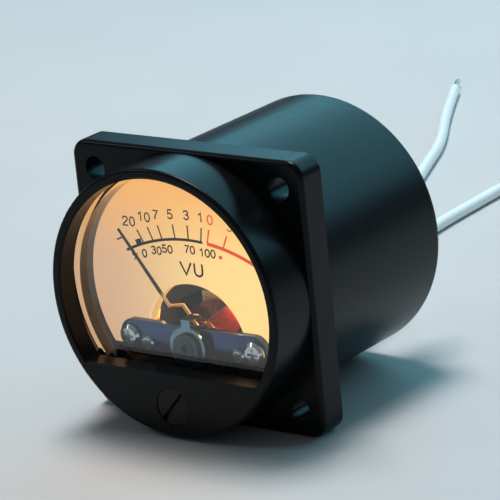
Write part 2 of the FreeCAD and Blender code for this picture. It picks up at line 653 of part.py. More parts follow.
# Front bridge: a strip with rounded ends, a boss and the zero lever's collar
def make_front_bridge():
    body = doc.addObject("PartDesign::Body", "FrontBridge")
    half = BRIDGE_HALF
    low = f"({PIVOT} - bridge_height / 2)"
    high = f"({PIVOT} + bridge_height / 2)"
    strip = sketch(body, "StripOutline", "XZ_Plane", "0 - dial_face")
    outline(strip, [(f"0 - {half}", low), (half, low), (half, high), (f"0 - {half}", high)])
    pad(body, strip, "bridge_thick")
    round_edges(body, "bridge_corner", lambda edge: len({round(v.X, 3) for v in edge.Vertexes}) == 1
                and len({round(v.Z, 3) for v in edge.Vertexes}) == 1)
    round_edges(body, "bridge_edge", lies_at(BRIDGE_FRONT))
    boss = sketch(body, "BossOutline", "XZ_Plane", BRIDGE_FRONT)
    circle(boss, "boss_radius", "0", PIVOT)
    pad(body, boss, "boss_height")
    collar = sketch(body, "CollarOutline", "XZ_Plane", BOSS_FRONT)
    circle(collar, "collar_radius", "0", PIVOT)
    pad(body, collar, f"{BOSS_FRONT} - {COLLAR_FRONT}")
    doc.recompute()
    way = sketch(body, "JewelWay", "XZ_Plane", COLLAR_FRONT)
    circle(way, "jewel_radius + thread_gap", "0", PIVOT)
    pocket(body, way, f"0 - dial_face - {COLLAR_FRONT}")
    holes = sketch(body, "ScrewHoles", "XZ_Plane", BRIDGE_FRONT)
    for x in (SCREW_X, f"0 - {SCREW_X}"):
        circle(holes, "screw_shank + thread_gap", x, SCREW_Z)
    for x in (TIE_X, f"0 - {TIE_X}"):
        circle(holes, "tie_shank + thread_gap", x, TIE_Z)
    pocket(body, holes, "bridge_thick")
    return body


# Rear bridge: a plain strip in its bed, with the rear jewel's thread
def make_rear_bridge():
    half = BRIDGE_HALF
    back = f"({BASE_FRONT} + bridge_thick)"
    strip = block((f"0 - {half}", half), (BASE_FRONT, back),
                  (f"({PIVOT} - bridge_height / 2)", f"({PIVOT} + bridge_height / 2)"))
    tools = [rod("jewel_radius + thread_gap", BASE_FRONT, back, z=PIVOT)]
    for x in (SCREW_X, f"0 - {SCREW_X}"):
        tools.append(rod("screw_shank + thread_gap", BASE_FRONT, back, x, SCREW_Z))
    for x in (TIE_X, f"0 - {TIE_X}"):
        tools.append(rod("tie_shank + thread_gap", BASE_FRONT, back, x, TIE_Z))
    return cut(strip, *tools)


# Yoke, with the tubes and screws that tie it between the two bridges
def make_yoke():
    back = f"({BASE_FRONT} + bridge_thick)"
    ring = rod(YOKE_RADIUS, "(0 - yoke_front)", YOKE_BACK, z=PIVOT)
    tools = [rod(YOKE_BORE, "(0 - yoke_front)", YOKE_BACK, z=PIVOT)]
    tubes = {"front": [], "rear": []}
    screws = {"front": [], "rear": []}
    for x in (TIE_X, f"(0 - {TIE_X})"):
        tools.append(rod("tie_shank + thread_gap", "(0 - yoke_front)", YOKE_BACK, x, TIE_Z))
        for end, near, far in (("front", "(0 - dial_face)", "(0 - yoke_front)"),
                               ("rear", YOKE_BACK, BASE_FRONT)):
            tube = rod("tie_tube", near, far, x, TIE_Z)
            tubes[end].append(cut(tube, rod("tie_shank + thread_gap", near, far, x, TIE_Z)))
        screws["front"].append(pan_screw(
            "tie_head", "tie_height", "tie_shank", BRIDGE_FRONT,
            f"(0 - yoke_front - {BRIDGE_FRONT} + tie_bite)", x, TIE_Z))
        screws["rear"].append(pan_screw(
            "tie_head", "tie_height", "tie_shank", back,
            f"({back} - {YOKE_BACK} + tie_bite)", x, TIE_Z, rear=True))
    node("magnet_yoke", cut(ring, *tools))
    node("front_tie_spacers", group(*tubes["front"]))
    node("rear_tie_spacers", group(*tubes["rear"]))
    node("tie_screws", group(*screws["front"]))
    node("rear_tie_screws", group(*screws["rear"]))


# Core magnet, and the two blocks that hold it in the yoke and stop the coil
def make_core():
    node("core_magnet", rod("core_radius", "(0 - core_front)", CORE_BACK, z=PIVOT))
    middle = f"({CORE_BACK} - core_front) / 2"
    near = f"({middle} - spacer_length / 2)"
    far = f"({middle} + spacer_length / 2)"
    blocks = []
    for low, high in (("0", YOKE_RADIUS), (f"(0 - {YOKE_RADIUS})", "0")):
        whole = block(("(0 - spacer_width / 2)", "(spacer_width / 2)"), (near, far),
                      (f"({PIVOT} + {low})", f"({PIVOT} + {high})"))
        ring = cut(rod(YOKE_BORE, near, far, z=PIVOT), rod("core_radius", near, far, z=PIVOT))
        shared = doc.addObject("Part::MultiCommon", "Shared")
        shared.Shapes = [whole, ring]
        blocks.append(shared)
    node("core_spacers", group(*blocks))


def coil_ring(inner, outer, low, high, ends):
    """A rectangular loop round the core, seen along the pointer."""
    front, back = ends
    thick = f"({outer} - {inner})"
    solid = block((f"(0 - {outer})", outer), (f"({front} - {thick})", f"({back} + {thick})"), (low, high))
    empty = block((f"(0 - {inner})", inner), (front, back), (low, high))
    return cut(solid, empty)


# Moving coil: a metal frame with two rims, and the enamelled winding between them
def make_coil():
    half = "(coil_width / 2)"
    inside = ("(0 - core_front - end_gap)", f"({CORE_BACK} + end_gap)")
    bed = f"({COIL_INNER} + former_thick)"
    around = ("(0 - core_front - end_gap - former_thick)", f"({CORE_BACK} + end_gap + former_thick)")
    strip = coil_ring(COIL_INNER, bed, f"(0 - {half})", half, inside)
    rims = [coil_ring(bed, COIL_OUTER, low, high, around)
            for low, high in ((f"(0 - {half})", f"(rim_thick - {half})"), (f"({half} - rim_thick)", half))]
    former = fuse(strip, *rims)
    node("coil_former", put(former, z=PIVOT, turn=REST))
    winding = coil_ring(bed, f"({COIL_OUTER} - rim_rise)", f"(rim_thick - {half})",
                        f"({half} - rim_thick)", around)
    node("coil_winding", put(winding, z=PIVOT, turn=REST))


# Pivots: a bush on the winding, a staff with the spring's collet, and a point
def make_pivots():
    seat = f"({COIL_FRONT} + rim_rise)"
    level = "(0 - spring_level)"
    tip = f"(0 - dial_face - point_length)"
    front = fuse(
        rod("bush_radius", HUB_BACK, seat, z=PIVOT),
        rod("staff_radius", "(0 - dial_face)", HUB_BACK, z=PIVOT),
        rod("collet_radius", f"({level} - spring_width)", f"{level}", z=PIVOT),
        taper("(staff_radius * 0.1)", "staff_radius * 0.8", tip, "(0 - dial_face)", z=PIVOT),
    )
    node("front_pivot", front)
    rear_seat = f"({COIL_BACK} - rim_rise)"
    bush_end = f"({COIL_BACK} + bush_thick)"
    rear = fuse(
        rod("bush_radius", rear_seat, bush_end, z=PIVOT),
        rod("staff_radius", bush_end, BASE_FRONT, z=PIVOT),
        rod("collet_radius", bush_end, f"({bush_end} + spring_width)", z=PIVOT),
        taper("staff_radius * 0.8", "(staff_radius * 0.1)", BASE_FRONT,
              f"({BASE_FRONT} + point_length)", z=PIVOT),
    )
    node("rear_pivot", rear)


def hairspring(label, near, strip_side):
    """A flat spiral of half circles whose centres alternate, from the collet outwards."""
    start = value("spring_start")
    thick = value("spring_thick")
    turns = round(2 * value("spring_turns"))
    growth = (value("lug_radius") - thick - start) / turns
    axis = value(PIVOT)
    depth = value(near)
    inner = []
    outer = []
    for number in range(turns):
        upward = 1 if (turns - number) % 2 else -1
        radius = start + growth * (number + 0.5)
        centre = axis + upward * growth / 2
        for edges, reach in ((inner, radius), (outer, radius + thick)):
            ends = [FreeCAD.Vector(0, depth, centre - upward * reach),
                    FreeCAD.Vector(0, depth, centre + upward * reach)]
            side = FreeCAD.Vector(reach * upward * strip_side, depth, centre)
            edges.append(Part.Arc(ends[0], side, ends[1]).toShape())
    caps = [Part.makeLine(inner[0].Vertexes[0].Point, outer[0].Vertexes[0].Point),
            Part.makeLine(inner[-1].Vertexes[-1].Point, outer[-1].Vertexes[-1].Point)]
    wire = Part.Wire(Part.__sortEdges__(inner + outer + caps))
    strip = Part.Face(wire).extrude(FreeCAD.Vector(0, -value("spring_width"), 0))
    feature = doc.addObject("Part::Feature", "Spiral")
    feature.Shape = strip
    return node(label, feature)


# Rear spring's lug: a small post on the rear bridge, at the spring's outer end
def make_anchor():
    bush_end = f"({COIL_BACK} + bush_thick)"
    half = "(anchor_width / 2)"
    return block((f"0 - {half}", half), (bush_end, BASE_FRONT),
                 (f"({PIVOT} + lug_radius)", f"({PIVOT} + lug_radius + lug_thick)"))


# Pointer: a needle that runs out from its hub, steps forward and goes on in front of the dial
def make_pointer():
    body = doc.addObject("PartDesign::Body", "Pointer")
    thick = "pointer_thick / 2"
    near = f"({HUB_BACK} - hub_thick / 2)"
    front_low = f"{near} - {thick}"
    front_high = f"0 - pointer_face - {thick}"
    rear_low = f"{near} + {thick}"
    rear_high = f"{thick} - pointer_face"
    side = sketch(body, "PointerSide", "YZ_Plane")
    outline(side, [
        (front_low, "hub_radius / 2"), (front_low, f"step_start - {thick}"),
        (front_high, f"step_end - {thick}"), (front_high, "pointer_tip"),
        (rear_high, "pointer_tip"), (rear_high, f"step_end + {thick}"),
        (rear_low, f"step_start + {thick}"), (rear_low, "hub_radius / 2"),
    ])
    blade = body.newObject("PartDesign::Pad", "Blade")
    blade.Profile = side
    blade.Midplane = True
    bind(blade, {"Length": "pointer_width"})
    doc.recompute()
    trim = sketch(body, "TipTaper", "XZ_Plane", front_high)
    half = "pointer_width / 2"
    for way in ("", "0 - "):
        outline(trim, [(f"{way}{half}", "step_end"), (f"{way}({half} + wide_gap)", "step_end"),
                       (f"{way}({half} + wide_gap)", "pointer_tip"), (f"{way}tip_width / 2", "pointer_tip")])
    pocket(body, trim, "pointer_thick")
    hub = sketch(body, "HubOutline", "XZ_Plane", HUB_BACK)
    circle(hub, "hub_radius")
    pad(body, hub, "hub_thick")
    doc.recompute()
    way = sketch(body, "HubHole", "XZ_Plane", HUB_FRONT)
    circle(way, "staff_radius + thread_gap")
    pocket(body, way, "hub_thick")
    return put(body, z=PIVOT, turn=REST)


def arm(start, end, radius, degrees, depth):
    """A thin round bar that runs outwards from the pivot axis, turned from upright."""
    bar = doc.addObject("Part::Cylinder", "Arm")
    bind(bar, {"Radius": radius, "Height": f"{end} - ({start})"})
    lean = math.radians(degrees)
    turned = FreeCAD.Rotation(FreeCAD.Vector(0, 1, 0), degrees)
    bar.Placement = FreeCAD.Placement(FreeCAD.Vector(), turned)
    return put(bar, f"{start} * {math.sin(lean):.6f}", depth, f"{start} * {math.cos(lean):.6f}")


# Balance arms: a ring on the pointer's hub with a tail and two side arms, and their weights
def make_balance():
    ring = cut(rod("hub_radius", f"({HUB_FRONT} - arm_ring)", HUB_FRONT),
               rod("staff_radius + thread_gap", f"({HUB_FRONT} - arm_ring)", HUB_FRONT))
    inner = "(hub_radius * 0.8)"
    arms = [arm(inner, end, "arm_radius", degrees, ARM_MIDDLE)
            for degrees, end in ((180, "tail_length"), (90, "side_length"), (-90, "side_length"))]
    node("balance_arms", put(fuse(ring, *arms), z=PIVOT, turn=REST))
    weights = []
    for degrees, end, length in ((180, "tail_length", "weight_length"),
                                 (90, "side_length", "side_weight_length"), (-90, "side_length", "side_weight_length")):
        low = f"({end} - {length} - arm_radius)"
        high = f"({end} - arm_radius)"
        sleeve = cut(arm(low, high, "weight_radius", degrees, ARM_MIDDLE),
                     arm(low, high, "arm_radius + thread_gap", degrees, ARM_MIDDLE))
        weights.append(sleeve)
    node("balance_weights", put(group(*weights), z=PIVOT, turn=REST))


# Zero lever: a disc on the bridge's collar, with the spring's lug above and a fork below
def make_zero_lever():
    front = f"({COLLAR_FRONT} + lever_play)"
    back = f"({BOSS_FRONT} - lever_play)"
    half = "(tab_width / 2)"
    top = "(lug_radius + lug_thick)"
    arm_half = "(fork_width / 2)"
    foot = "(lever_reach - pin_offset + fork_tail)"
    slot_half = "(pin_radius + pin_play)"
    disc = rod("lever_radius", front, back)
    tab = block((f"(0 - {half})", half), (front, back), ("0", top))
    lug = block((f"(0 - {half})", half), (front, "(0 - spring_level)"), ("lug_radius", top))
    fork = block((f"(0 - {arm_half})", arm_half), (front, back), (f"(0 - {foot})", "0"))
    centre = rod("collar_radius + lever_play", front, back)
    slot = block((f"(0 - {slot_half})", slot_half), (front, back),
                 (f"(0 - {foot})", f"(pin_offset + fork_tail - lever_reach)"))
    return put(cut(fuse(disc, tab, lug, fork), centre, slot), z=PIVOT)


# Jewel screws and their lock nuts
def make_jewels():
    front = f"({NUT_FRONT} - jewel_proud)"
    back = "(0 - dial_face - thread_gap)"
    bar = rod("jewel_radius", front, back, z=PIVOT)
    recess = rod("jewel_recess", front, f"({front} + jewel_recess)", z=PIVOT)
    cup = taper("(cup_radius * 0.1)", "cup_radius", f"({back} - cup_depth)", back, z=PIVOT)
    node("front_jewel_screw", cut(bar, recess, cup))
    nut = rod("nut_radius", NUT_FRONT, COLLAR_FRONT, z=PIVOT)
    node("front_lock_nut", cut(nut, rod("jewel_radius + thread_gap", NUT_FRONT, COLLAR_FRONT, z=PIVOT)))
    near = f"({BASE_FRONT} + thread_gap)"
    seat = f"({BASE_FRONT} + bridge_thick)"
    far = f"({seat} + nut_thick + jewel_proud)"
    bar = rod("jewel_radius", near, far, z=PIVOT)
    cup = taper("cup_radius", "(cup_radius * 0.1)", near, f"({near} + cup_depth)", z=PIVOT)
    node("rear_jewel_screw", cut(bar, cup))
    nut = rod("nut_radius", seat, f"({seat} + nut_thick)", z=PIVOT)
    way = rod("jewel_radius + thread_gap", seat, f"({seat} + nut_thick)", z=PIVOT)
    node("rear_lock_nut", cut(nut, way))


# Zero adjuster: a slotted head, a shaft through the bezel, a collar and an eccentric pin
def make_zero_screw():
    head_front = f"({RING_FRONT} + zero_sink)"
    seat = f"({RING_FRONT} + zero_depth - thread_gap)"
    collar_front = f"({LENS_FRONT} + zero_gap)"
    collar_back = f"({collar_front} + collar_thick)"
    pin_back = f"({BOSS_FRONT} + lever_play)"
    body = fuse(
        rod("zero_head", head_front, seat),
        rod("zero_shaft", head_front, collar_back),
        rod("zero_collar", collar_front, collar_back),
        rod("pin_radius", collar_front, pin_back, z="pin_offset"),
    )
    half = "(slot_width / 2)"
    slot = block((f"(0 - {half})", half), (head_front, f"({head_front} + slot_depth)"),
                 ("(0 - zero_head)", "zero_head"))
    slot.Placement = FreeCAD.Placement(
        FreeCAD.Vector(), FreeCAD.Rotation(FreeCAD.Vector(0, 1, 0), value("slot_angle")))
    bind(slot, {
        "Placement.Rotation.Angle": "slot_angle",
        "Placement.Base.x": "0 - slot_width / 2 * cos(slot_angle) - zero_head * sin(slot_angle)",
        "Placement.Base.z": "slot_width / 2 * sin(slot_angle) - zero_head * cos(slot_angle)",
    })
    return put(cut(body, slot), z=ZERO_Z)


# Terminals: studs with their inner heads, fibre washers, solder tags and hexagon nuts
def make_terminals():
    studs = []
    washers = []
    tags = []
    nuts = []
    washer_back = "(barrel_length + washer_thick)"
    tag_back = f"({washer_back} + tag_thick)"
    nut_back = f"({tag_back} + hex_thick)"
    end = "(barrel_length + stud_length)"
    for x in ("(stud_spacing / 2)", "(0 - stud_spacing / 2)"):
        head = rod("stud_head", f"({CASE_INSIDE} - stud_grip)", CASE_INSIDE, x, "stud_rise")
        neck = rod("stud_root", CASE_INSIDE, f"({nut_back} + stud_relief)", x, "stud_rise")
        studs.append(fuse(head, neck, rod("stud_radius", f"({nut_back} + stud_relief)", end, x, "stud_rise")))

        def bored(solid, near, far):
            return cut(solid, rod("stud_radius + thread_gap", near, far, x, "stud_rise"))

        washers.append(bored(rod("washer_radius", "barrel_length", washer_back, x, "stud_rise"),
                             "barrel_length", washer_back))
        half = "(tag_width / 2)"
        tip = "(stud_rise - tag_length)"
        eye = rod("tag_width * 0.75", washer_back, tag_back, x, "stud_rise")
        blade = block((f"({x} - {half})", f"({x} + {half})"), (washer_back, tag_back), (tip, "stud_rise"))
        nose = rod(half, washer_back, tag_back, x, tip)
        plain = cut(fuse(eye, blade, nose), rod("tag_hole", washer_back, tag_back, x, tip))
        tags.append(bored(plain, washer_back, tag_back))
        prism = doc.addObject("Part::Prism", "Hexagon")
        prism.Polygon = 6
        prism.Placement = FreeCAD.Placement(FreeCAD.Vector(), ALONG_Y)
        bind(prism, {"Circumradius": "hex_width / sqrt(3)", "Height": "hex_thick"})
        put(prism, x, tag_back, "stud_rise")
        nuts.append(bored(prism, tag_back, nut_back))
    node("terminal_studs", group(*studs))
    node("terminal_washers", group(*washers))
    node("solder_tags", group(*tags))
    node("terminal_nuts", group(*nuts))


# Case screws: from the rear, through the case's tubes into the movement base
def make_case_screws():
    reach = f"(barrel_length - {BASE_BACK} + fixing_bite - thread_gap)"
    return group(*[
        pan_screw("fixing_head", "fixing_height", "fixing_shank", "barrel_length", reach,
                  x, "fixing_rise", rear=True)
        for x in ("(fixing_spacing / 2)", "(0 - fixing_spacing / 2)")
    ])


# Grommet: a neck in the rear wall between two rims, with a way for each lead
def make_grommet():
    inner = f"({CASE_INSIDE} - rim_height)"
    outer = "(barrel_length + rim_height)"
    low = f"(0 - {LEAD_DROP})"
    solid = fuse(
        rod("grommet_rim", inner, CASE_INSIDE, z=low),
        rod("grommet_neck", CASE_INSIDE, "barrel_length", z=low),
        taper("grommet_rim", "grommet_rim * 0.85", "barrel_length", outer, z=low),
    )
    ways = [rod("lead_radius + thread_gap", inner, outer, x, low)
            for x in ("lead_spacing / 2", "0 - lead_spacing / 2")]
    return cut(solid, *ways)


def bent_tube(points, radius):
    """A tube along straight runs joined by tangent arcs; prints the arcs' radii."""
    places = [FreeCAD.Vector(*point) for point in points]
    share = 0.45
    edges = []
    start = places[0]
    radii = []
    for before, corner, after in zip(places, places[1:], places[2:]):
        way_in = (corner - before).normalize()
        way_out = (after - corner).normalize()
        turn = way_in.getAngle(way_out)
        back = share * min((corner - before).Length, (after - corner).Length)
        radii.append(back / math.tan(turn / 2))
        bisector = (way_out - way_in).normalize()
        rise = radii[-1] * (1 / math.cos(turn / 2) - 1)
        first = corner - way_in * back
        last = corner + way_out * back
        edges.append(Part.LineSegment(start, first).toShape())
        edges.append(Part.Arc(first, corner + bisector * rise, last).toShape())
        start = last
    edges.append(Part.LineSegment(start, places[-1]).toShape())
    path = Part.Wire(edges)
    ring = Part.Circle(places[0], places[1] - places[0], radius).toShape()
    tube = path.makePipeShell([Part.Wire(ring)], True, False)
    section = math.pi * radius ** 2
    print("cord radii", [round(r, 1) for r in radii], "length", round(path.Length, 2),
          "volume over section times length", round(tube.Volume / (section * path.Length), 4))
    return tube


# Lamp leads: out of the grommet, down to the surface and away behind the barrel
def make_leads():
    side = value("lead_spacing / 2")
    exit_y = value(f"{CASE_INSIDE} - rim_height")
    exit_z = -value(LEAD_DROP)
    floor = value(f"lead_radius - {FLANGE_HALF}")
    upper = [
        (-side, exit_y, exit_z), (-side, 32.4, exit_z), (-5.0, 42.5, -13.5),
        (-11.0, 53.5, floor), (-18.0, 67.5, floor), (-27.5, 82.5, floor), (-34.7, 96.9, floor),
        (-38.8, 108.0, floor), (-46.8, 122.4, floor), (-54.0, 136.6, floor),
    ]
    lower = [
        (side, exit_y, exit_z), (side, 32.4, exit_z), (-0.8, 43.0, -13.4),
        (-5.0, 53.0, floor), (-11.0, 63.0, floor), (-15.8, 73.5, floor), (-16.3, 82.0, floor),
        (-16.3, 91.5, floor), (-13.0, 102.0, floor), (-5.0, 109.5, floor), (6.0, 111.0, floor),
        (14.5, 105.0, floor), (16.0, 95.5, floor),
    ]
    tips = []
    for label, points in (("lamp_lead_upper", upper), ("lamp_lead_lower", lower)):
        tube = doc.addObject("Part::Feature", "Lead")
        tube.Shape = bent_tube(points, value("lead_radius"))
        node(label, tube)
        end = FreeCAD.Vector(*points[-1])
        heading = (end - FreeCAD.Vector(*points[-2])).normalize()
        tips.append(Part.makeCylinder(value("tip_radius"), value("tip_length"), end, heading))
    strands = doc.addObject("Part::Feature", "Strands")
    strands.Shape = Part.makeCompound(tips)
    node("lead_tips", strands)


# Inner wires: the lamps' wires behind their board, and the signal wires from the studs
def make_inner_wires():
    board_back = f"({BASE_FRONT} - box_wall)"
    lamp_wires = []
    signal_wires = []
    for side in ("", "0 - "):
        lamp_wires.append(rod("wire_radius", board_back, f"({CASE_INSIDE} - rim_height)",
                              f"{side}lead_spacing / 2", BOARD_Z))
        signal_wires.append(rod("wire_radius", BASE_FRONT, f"({CASE_INSIDE} - stud_grip)",
                                f"{side}stud_spacing / 2", "stud_rise"))
    drop = f"({CASE_INSIDE} - rim_height - 2 * wire_radius)"
    runs = []
    for number, wire in enumerate(lamp_wires):
        x = ("(lead_spacing / 2)", "(0 - lead_spacing / 2)")[number]
        fall = block((f"({x} - wire_radius)", f"({x} + wire_radius)"),
                     (drop, f"({CASE_INSIDE} - rim_height)"), (f"(0 - {LEAD_DROP} - wire_radius)", BOARD_Z))
        runs.append(fuse(wire, fall))
    node("lamp_wires_inner", group(*runs))
    node("signal_wires", group(*signal_wires))


node("front_bezel", make_bezel())
node("window_lens", make_window())
node("rear_case", make_case())
node("dial_plate", make_dial())
node("light_guide", make_guide())
node("light_box", make_light_box())
make_lamps()
node("movement_base", make_base())
make_pillars()
node("front_bridge", make_front_bridge())
node("rear_bridge", make_rear_bridge())
make_yoke()
make_core()
make_coil()
make_pivots()
hairspring("front_hairspring", "0 - spring_level", 1)
hairspring("rear_hairspring", f"{COIL_BACK} + bush_thick + spring_width", -1)
node("spring_anchor", make_anchor())
node("pointer", make_pointer())
make_balance()
node("zero_lever", make_zero_lever())
make_jewels()
node("zero_adjust_screw", make_zero_screw())
make_terminals()
node("case_screws", make_case_screws())
node("lead_grommet", make_grommet())
make_leads()
make_inner_wires()

doc.recompute()
for thing in doc.Objects:
    if "Invalid" in thing.State or "Error" in thing.State:
        raise RuntimeError(f"{thing.Name} ({thing.Label}) failed: {thing.State}")
os.makedirs("parts", exist_ok=True)
for part in nodes:
    shape = part.Shape
    if shape.isNull() or not shape.isValid() or not shape.Solids:
        raise RuntimeError(f"{part.Label} has no valid solid")
    shape.exportStep(f"parts/{part.Label}.step")
print(len(nodes), "nodes", sum(len(part.Shape.Solids) for part in nodes), "solids")
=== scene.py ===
import math

import bmesh
import bpy
from mathutils import Matrix, Vector


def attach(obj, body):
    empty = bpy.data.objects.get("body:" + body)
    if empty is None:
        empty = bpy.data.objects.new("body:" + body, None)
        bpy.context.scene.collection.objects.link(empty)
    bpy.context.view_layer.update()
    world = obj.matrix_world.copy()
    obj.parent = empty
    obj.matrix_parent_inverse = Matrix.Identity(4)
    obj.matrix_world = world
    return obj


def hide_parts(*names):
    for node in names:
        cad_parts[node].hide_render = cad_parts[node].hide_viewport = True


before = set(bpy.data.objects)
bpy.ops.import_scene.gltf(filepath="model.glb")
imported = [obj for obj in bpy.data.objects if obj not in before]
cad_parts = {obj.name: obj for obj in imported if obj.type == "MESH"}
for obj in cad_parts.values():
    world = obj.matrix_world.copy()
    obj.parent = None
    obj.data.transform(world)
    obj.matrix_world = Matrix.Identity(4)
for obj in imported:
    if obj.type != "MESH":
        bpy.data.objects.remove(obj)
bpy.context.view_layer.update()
MM = 0.001

# The camera stands to the right of the meter and a little above it.
# It looks down the barrel's side with a long lens, tilted slightly to the left.
AZIMUTH = math.radians(37.862)
ELEVATION = math.radians(17.4)
ROLL = math.radians(-5.682)
EYE = Vector((234.437, -294.142, 120.995)) * MM
LENS = 230.7
SENSOR = 36
NEAREST = 0.01
FARTHEST = 30
UPRIGHT = Vector((0, 0, 1))


def place_object(name, data):
    """Makes an object and puts it in the scene."""
    made = bpy.data.objects.new(name, data)
    bpy.context.scene.collection.objects.link(made)
    return made


forward = -Vector((math.sin(AZIMUTH) * math.cos(ELEVATION),
                   -math.cos(AZIMUTH) * math.cos(ELEVATION), math.sin(ELEVATION)))
level = forward.cross(UPRIGHT).normalized()
above = level.cross(forward)
right = level * math.cos(ROLL) + above * math.sin(ROLL)
up = above * math.cos(ROLL) - level * math.sin(ROLL)
camera = place_object("camera", bpy.data.cameras.new("camera"))
camera.matrix_world = Matrix((
    (right.x, up.x, -forward.x, EYE.x), (right.y, up.y, -forward.y, EYE.y),
    (right.z, up.z, -forward.z, EYE.z), (0, 0, 0, 1)))
camera.data.lens = LENS
camera.data.sensor_width = SENSOR
camera.data.clip_start = NEAREST
camera.data.clip_end = FARTHEST
bpy.context.scene.camera = camera

# The two lamp leads are stranded wires in white insulation, 1.8 mm over all.
# They leave the rear by one grommet, drop to the surface and run off behind the
# barrel, one nearly straight and one round in a loose loop.
LEAD_THICK = 1.8
LEAD_DIAMETER = LEAD_THICK * MM
LEAD_SIDE = 1.1
LEAD_START = 22.0
LEAD_EXIT = 32.4
LEAD_HEIGHT = -9.0
SURFACE = -17.5
LEAD_LAY = SURFACE + LEAD_THICK / 2
UPPER_ROUTE = [
    (-LEAD_SIDE, LEAD_START, LEAD_HEIGHT), (-LEAD_SIDE, LEAD_EXIT, LEAD_HEIGHT),
    (-6.0, 42.0, -13.5), (-13.5, 53.0, LEAD_LAY), (-20.0, 67.0, LEAD_LAY),
    (-27.8, 82.5, LEAD_LAY), (-33.9, 97.0, LEAD_LAY), (-38.4, 108.2, LEAD_LAY),
    (-46.8, 122.4, LEAD_LAY), (-54.0, 136.6, LEAD_LAY),
]
LOWER_ROUTE = [
    (LEAD_SIDE, LEAD_START, LEAD_HEIGHT), (LEAD_SIDE, LEAD_EXIT, LEAD_HEIGHT),
    (-1.0, 43.0, -13.4), (-7.2, 52.2, LEAD_LAY), (-14.2, 61.2, LEAD_LAY),
    (-15.5, 73.0, LEAD_LAY), (-15.8, 83.0, LEAD_LAY), (-16.1, 92.5, LEAD_LAY),
    (-13.0, 102.0, LEAD_LAY), (-5.0, 109.5, LEAD_LAY), (6.0, 111.0, LEAD_LAY),
    (14.5, 105.0, LEAD_LAY), (16.0, 95.5, LEAD_LAY),
]
UPPER_LENGTH = 0.128
LOWER_LENGTH = 0.126
WIRE_ROUNDNESS = 6
WIRE_SMOOTHNESS = 16
STRIPPED = 5.0 * MM
STRAND_RADIUS = 0.15 * MM
STRAND_RING = 0.29 * MM
OUTER_STRANDS = 6
STRAND_TWIST = 2.2
STRAND_SIDES = 8
STRAND_STEPS = 14
GRAIN_DETAIL = 5

# A mix node keeps its two colours and their blend in these sockets.
MIX_FIRST = 6
MIX_SECOND = 7
MIX_RESULT = 2


def shader_of(finish):
    """The main shader of a finish."""
    return finish.node_tree.nodes["Principled BSDF"]


def set_sockets(node, amounts):
    """Sets a shader node's own sockets."""
    for socket, amount in amounts.items():
        node.inputs[socket].default_value = amount


def node_of(finish, kind, amounts=None, **modes):
    """Adds a shader node to a finish and sets its modes and its sockets."""
    made = finish.node_tree.nodes.new(kind)
    for name, choice in modes.items():
        setattr(made, name, choice)
    set_sockets(made, amounts or {})
    return made


def join(finish, source, output, target, socket):
    """Links an output of one shader node to a socket of another."""
    finish.node_tree.links.new(source.outputs[output], target.inputs[socket])


def surface(name, dark, light, grain, rough, relief=0.0, metal=0.0, stretch=(1, 1, 1), turn=0.0,
            gleam=0.5):
    """A finish whose colour, roughness and relief vary with a grain in the piece's own space."""
    finish = bpy.data.materials.new(name)
    finish.use_nodes = True
    shader = shader_of(finish)
    set_sockets(shader, {"Metallic": metal, "Specular IOR Level": gleam})
    place = node_of(finish, "ShaderNodeTexCoord")
    spread = node_of(finish, "ShaderNodeMapping", {"Scale": stretch, "Rotation": (0, turn, 0)})
    noise = node_of(finish, "ShaderNodeTexNoise", {"Scale": grain, "Detail": GRAIN_DETAIL})
    tones = node_of(finish, "ShaderNodeMix", {MIX_FIRST: (*dark, 1), MIX_SECOND: (*light, 1)},
                    data_type="RGBA")
    gloss = node_of(finish, "ShaderNodeMapRange", {"To Min": rough[0], "To Max": rough[1]})
    join(finish, place, "Object", spread, "Vector")
    join(finish, spread, "Vector", noise, "Vector")
    join(finish, noise, "Fac", tones, "Factor")
    join(finish, noise, "Fac", gloss, "Value")
    join(finish, tones, MIX_RESULT, shader, "Base Color")
    join(finish, gloss, "Result", shader, "Roughness")
    if relief:
        bump = node_of(finish, "ShaderNodeBump", {"Strength": 1.0, "Distance": relief})
        join(finish, noise, "Fac", bump, "Height")
        join(finish, bump, "Normal", shader, "Normal")
    return finish


def add(name, data, body, finish):
    """Puts a new piece in the scene, on its body and finish."""
    piece = place_object(name, data)
    data.materials.append(finish)
    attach(piece, body)
    return piece


def wire_curve(name, points, radius):
    """A smooth round wire along a route given in metres."""
    curve = bpy.data.curves.new(name, "CURVE")
    curve.dimensions = "3D"
    curve.bevel_depth = radius
    curve.bevel_resolution = WIRE_ROUNDNESS
    curve.resolution_u = WIRE_SMOOTHNESS
    curve.use_fill_caps = True
    spline = curve.splines.new("NURBS")
    spline.points.add(len(points) - 1)
    for control, point in zip(spline.points, points):
        control.co = (*point, 1)
    spline.order_u = 3
    spline.use_endpoint_u = True
    return curve


def close_rod(form, rings):
    """Joins rings of corners into a solid rod with flat ends."""
    count = len(rings[0])
    for first, second in zip(rings, rings[1:]):
        for n in range(count):
            after = (n + 1) % count
            form.faces.new((first[n], first[after], second[after], second[n]))
    form.faces.new(reversed(rings[0]))
    form.faces.new(rings[-1])
    bmesh.ops.recalc_face_normals(form, faces=form.faces)


def finished_mesh(name, form):
    """Turns a finished form into a mesh."""
    mesh = bpy.data.meshes.new(name)
    form.to_mesh(mesh)
    form.free()
    return mesh


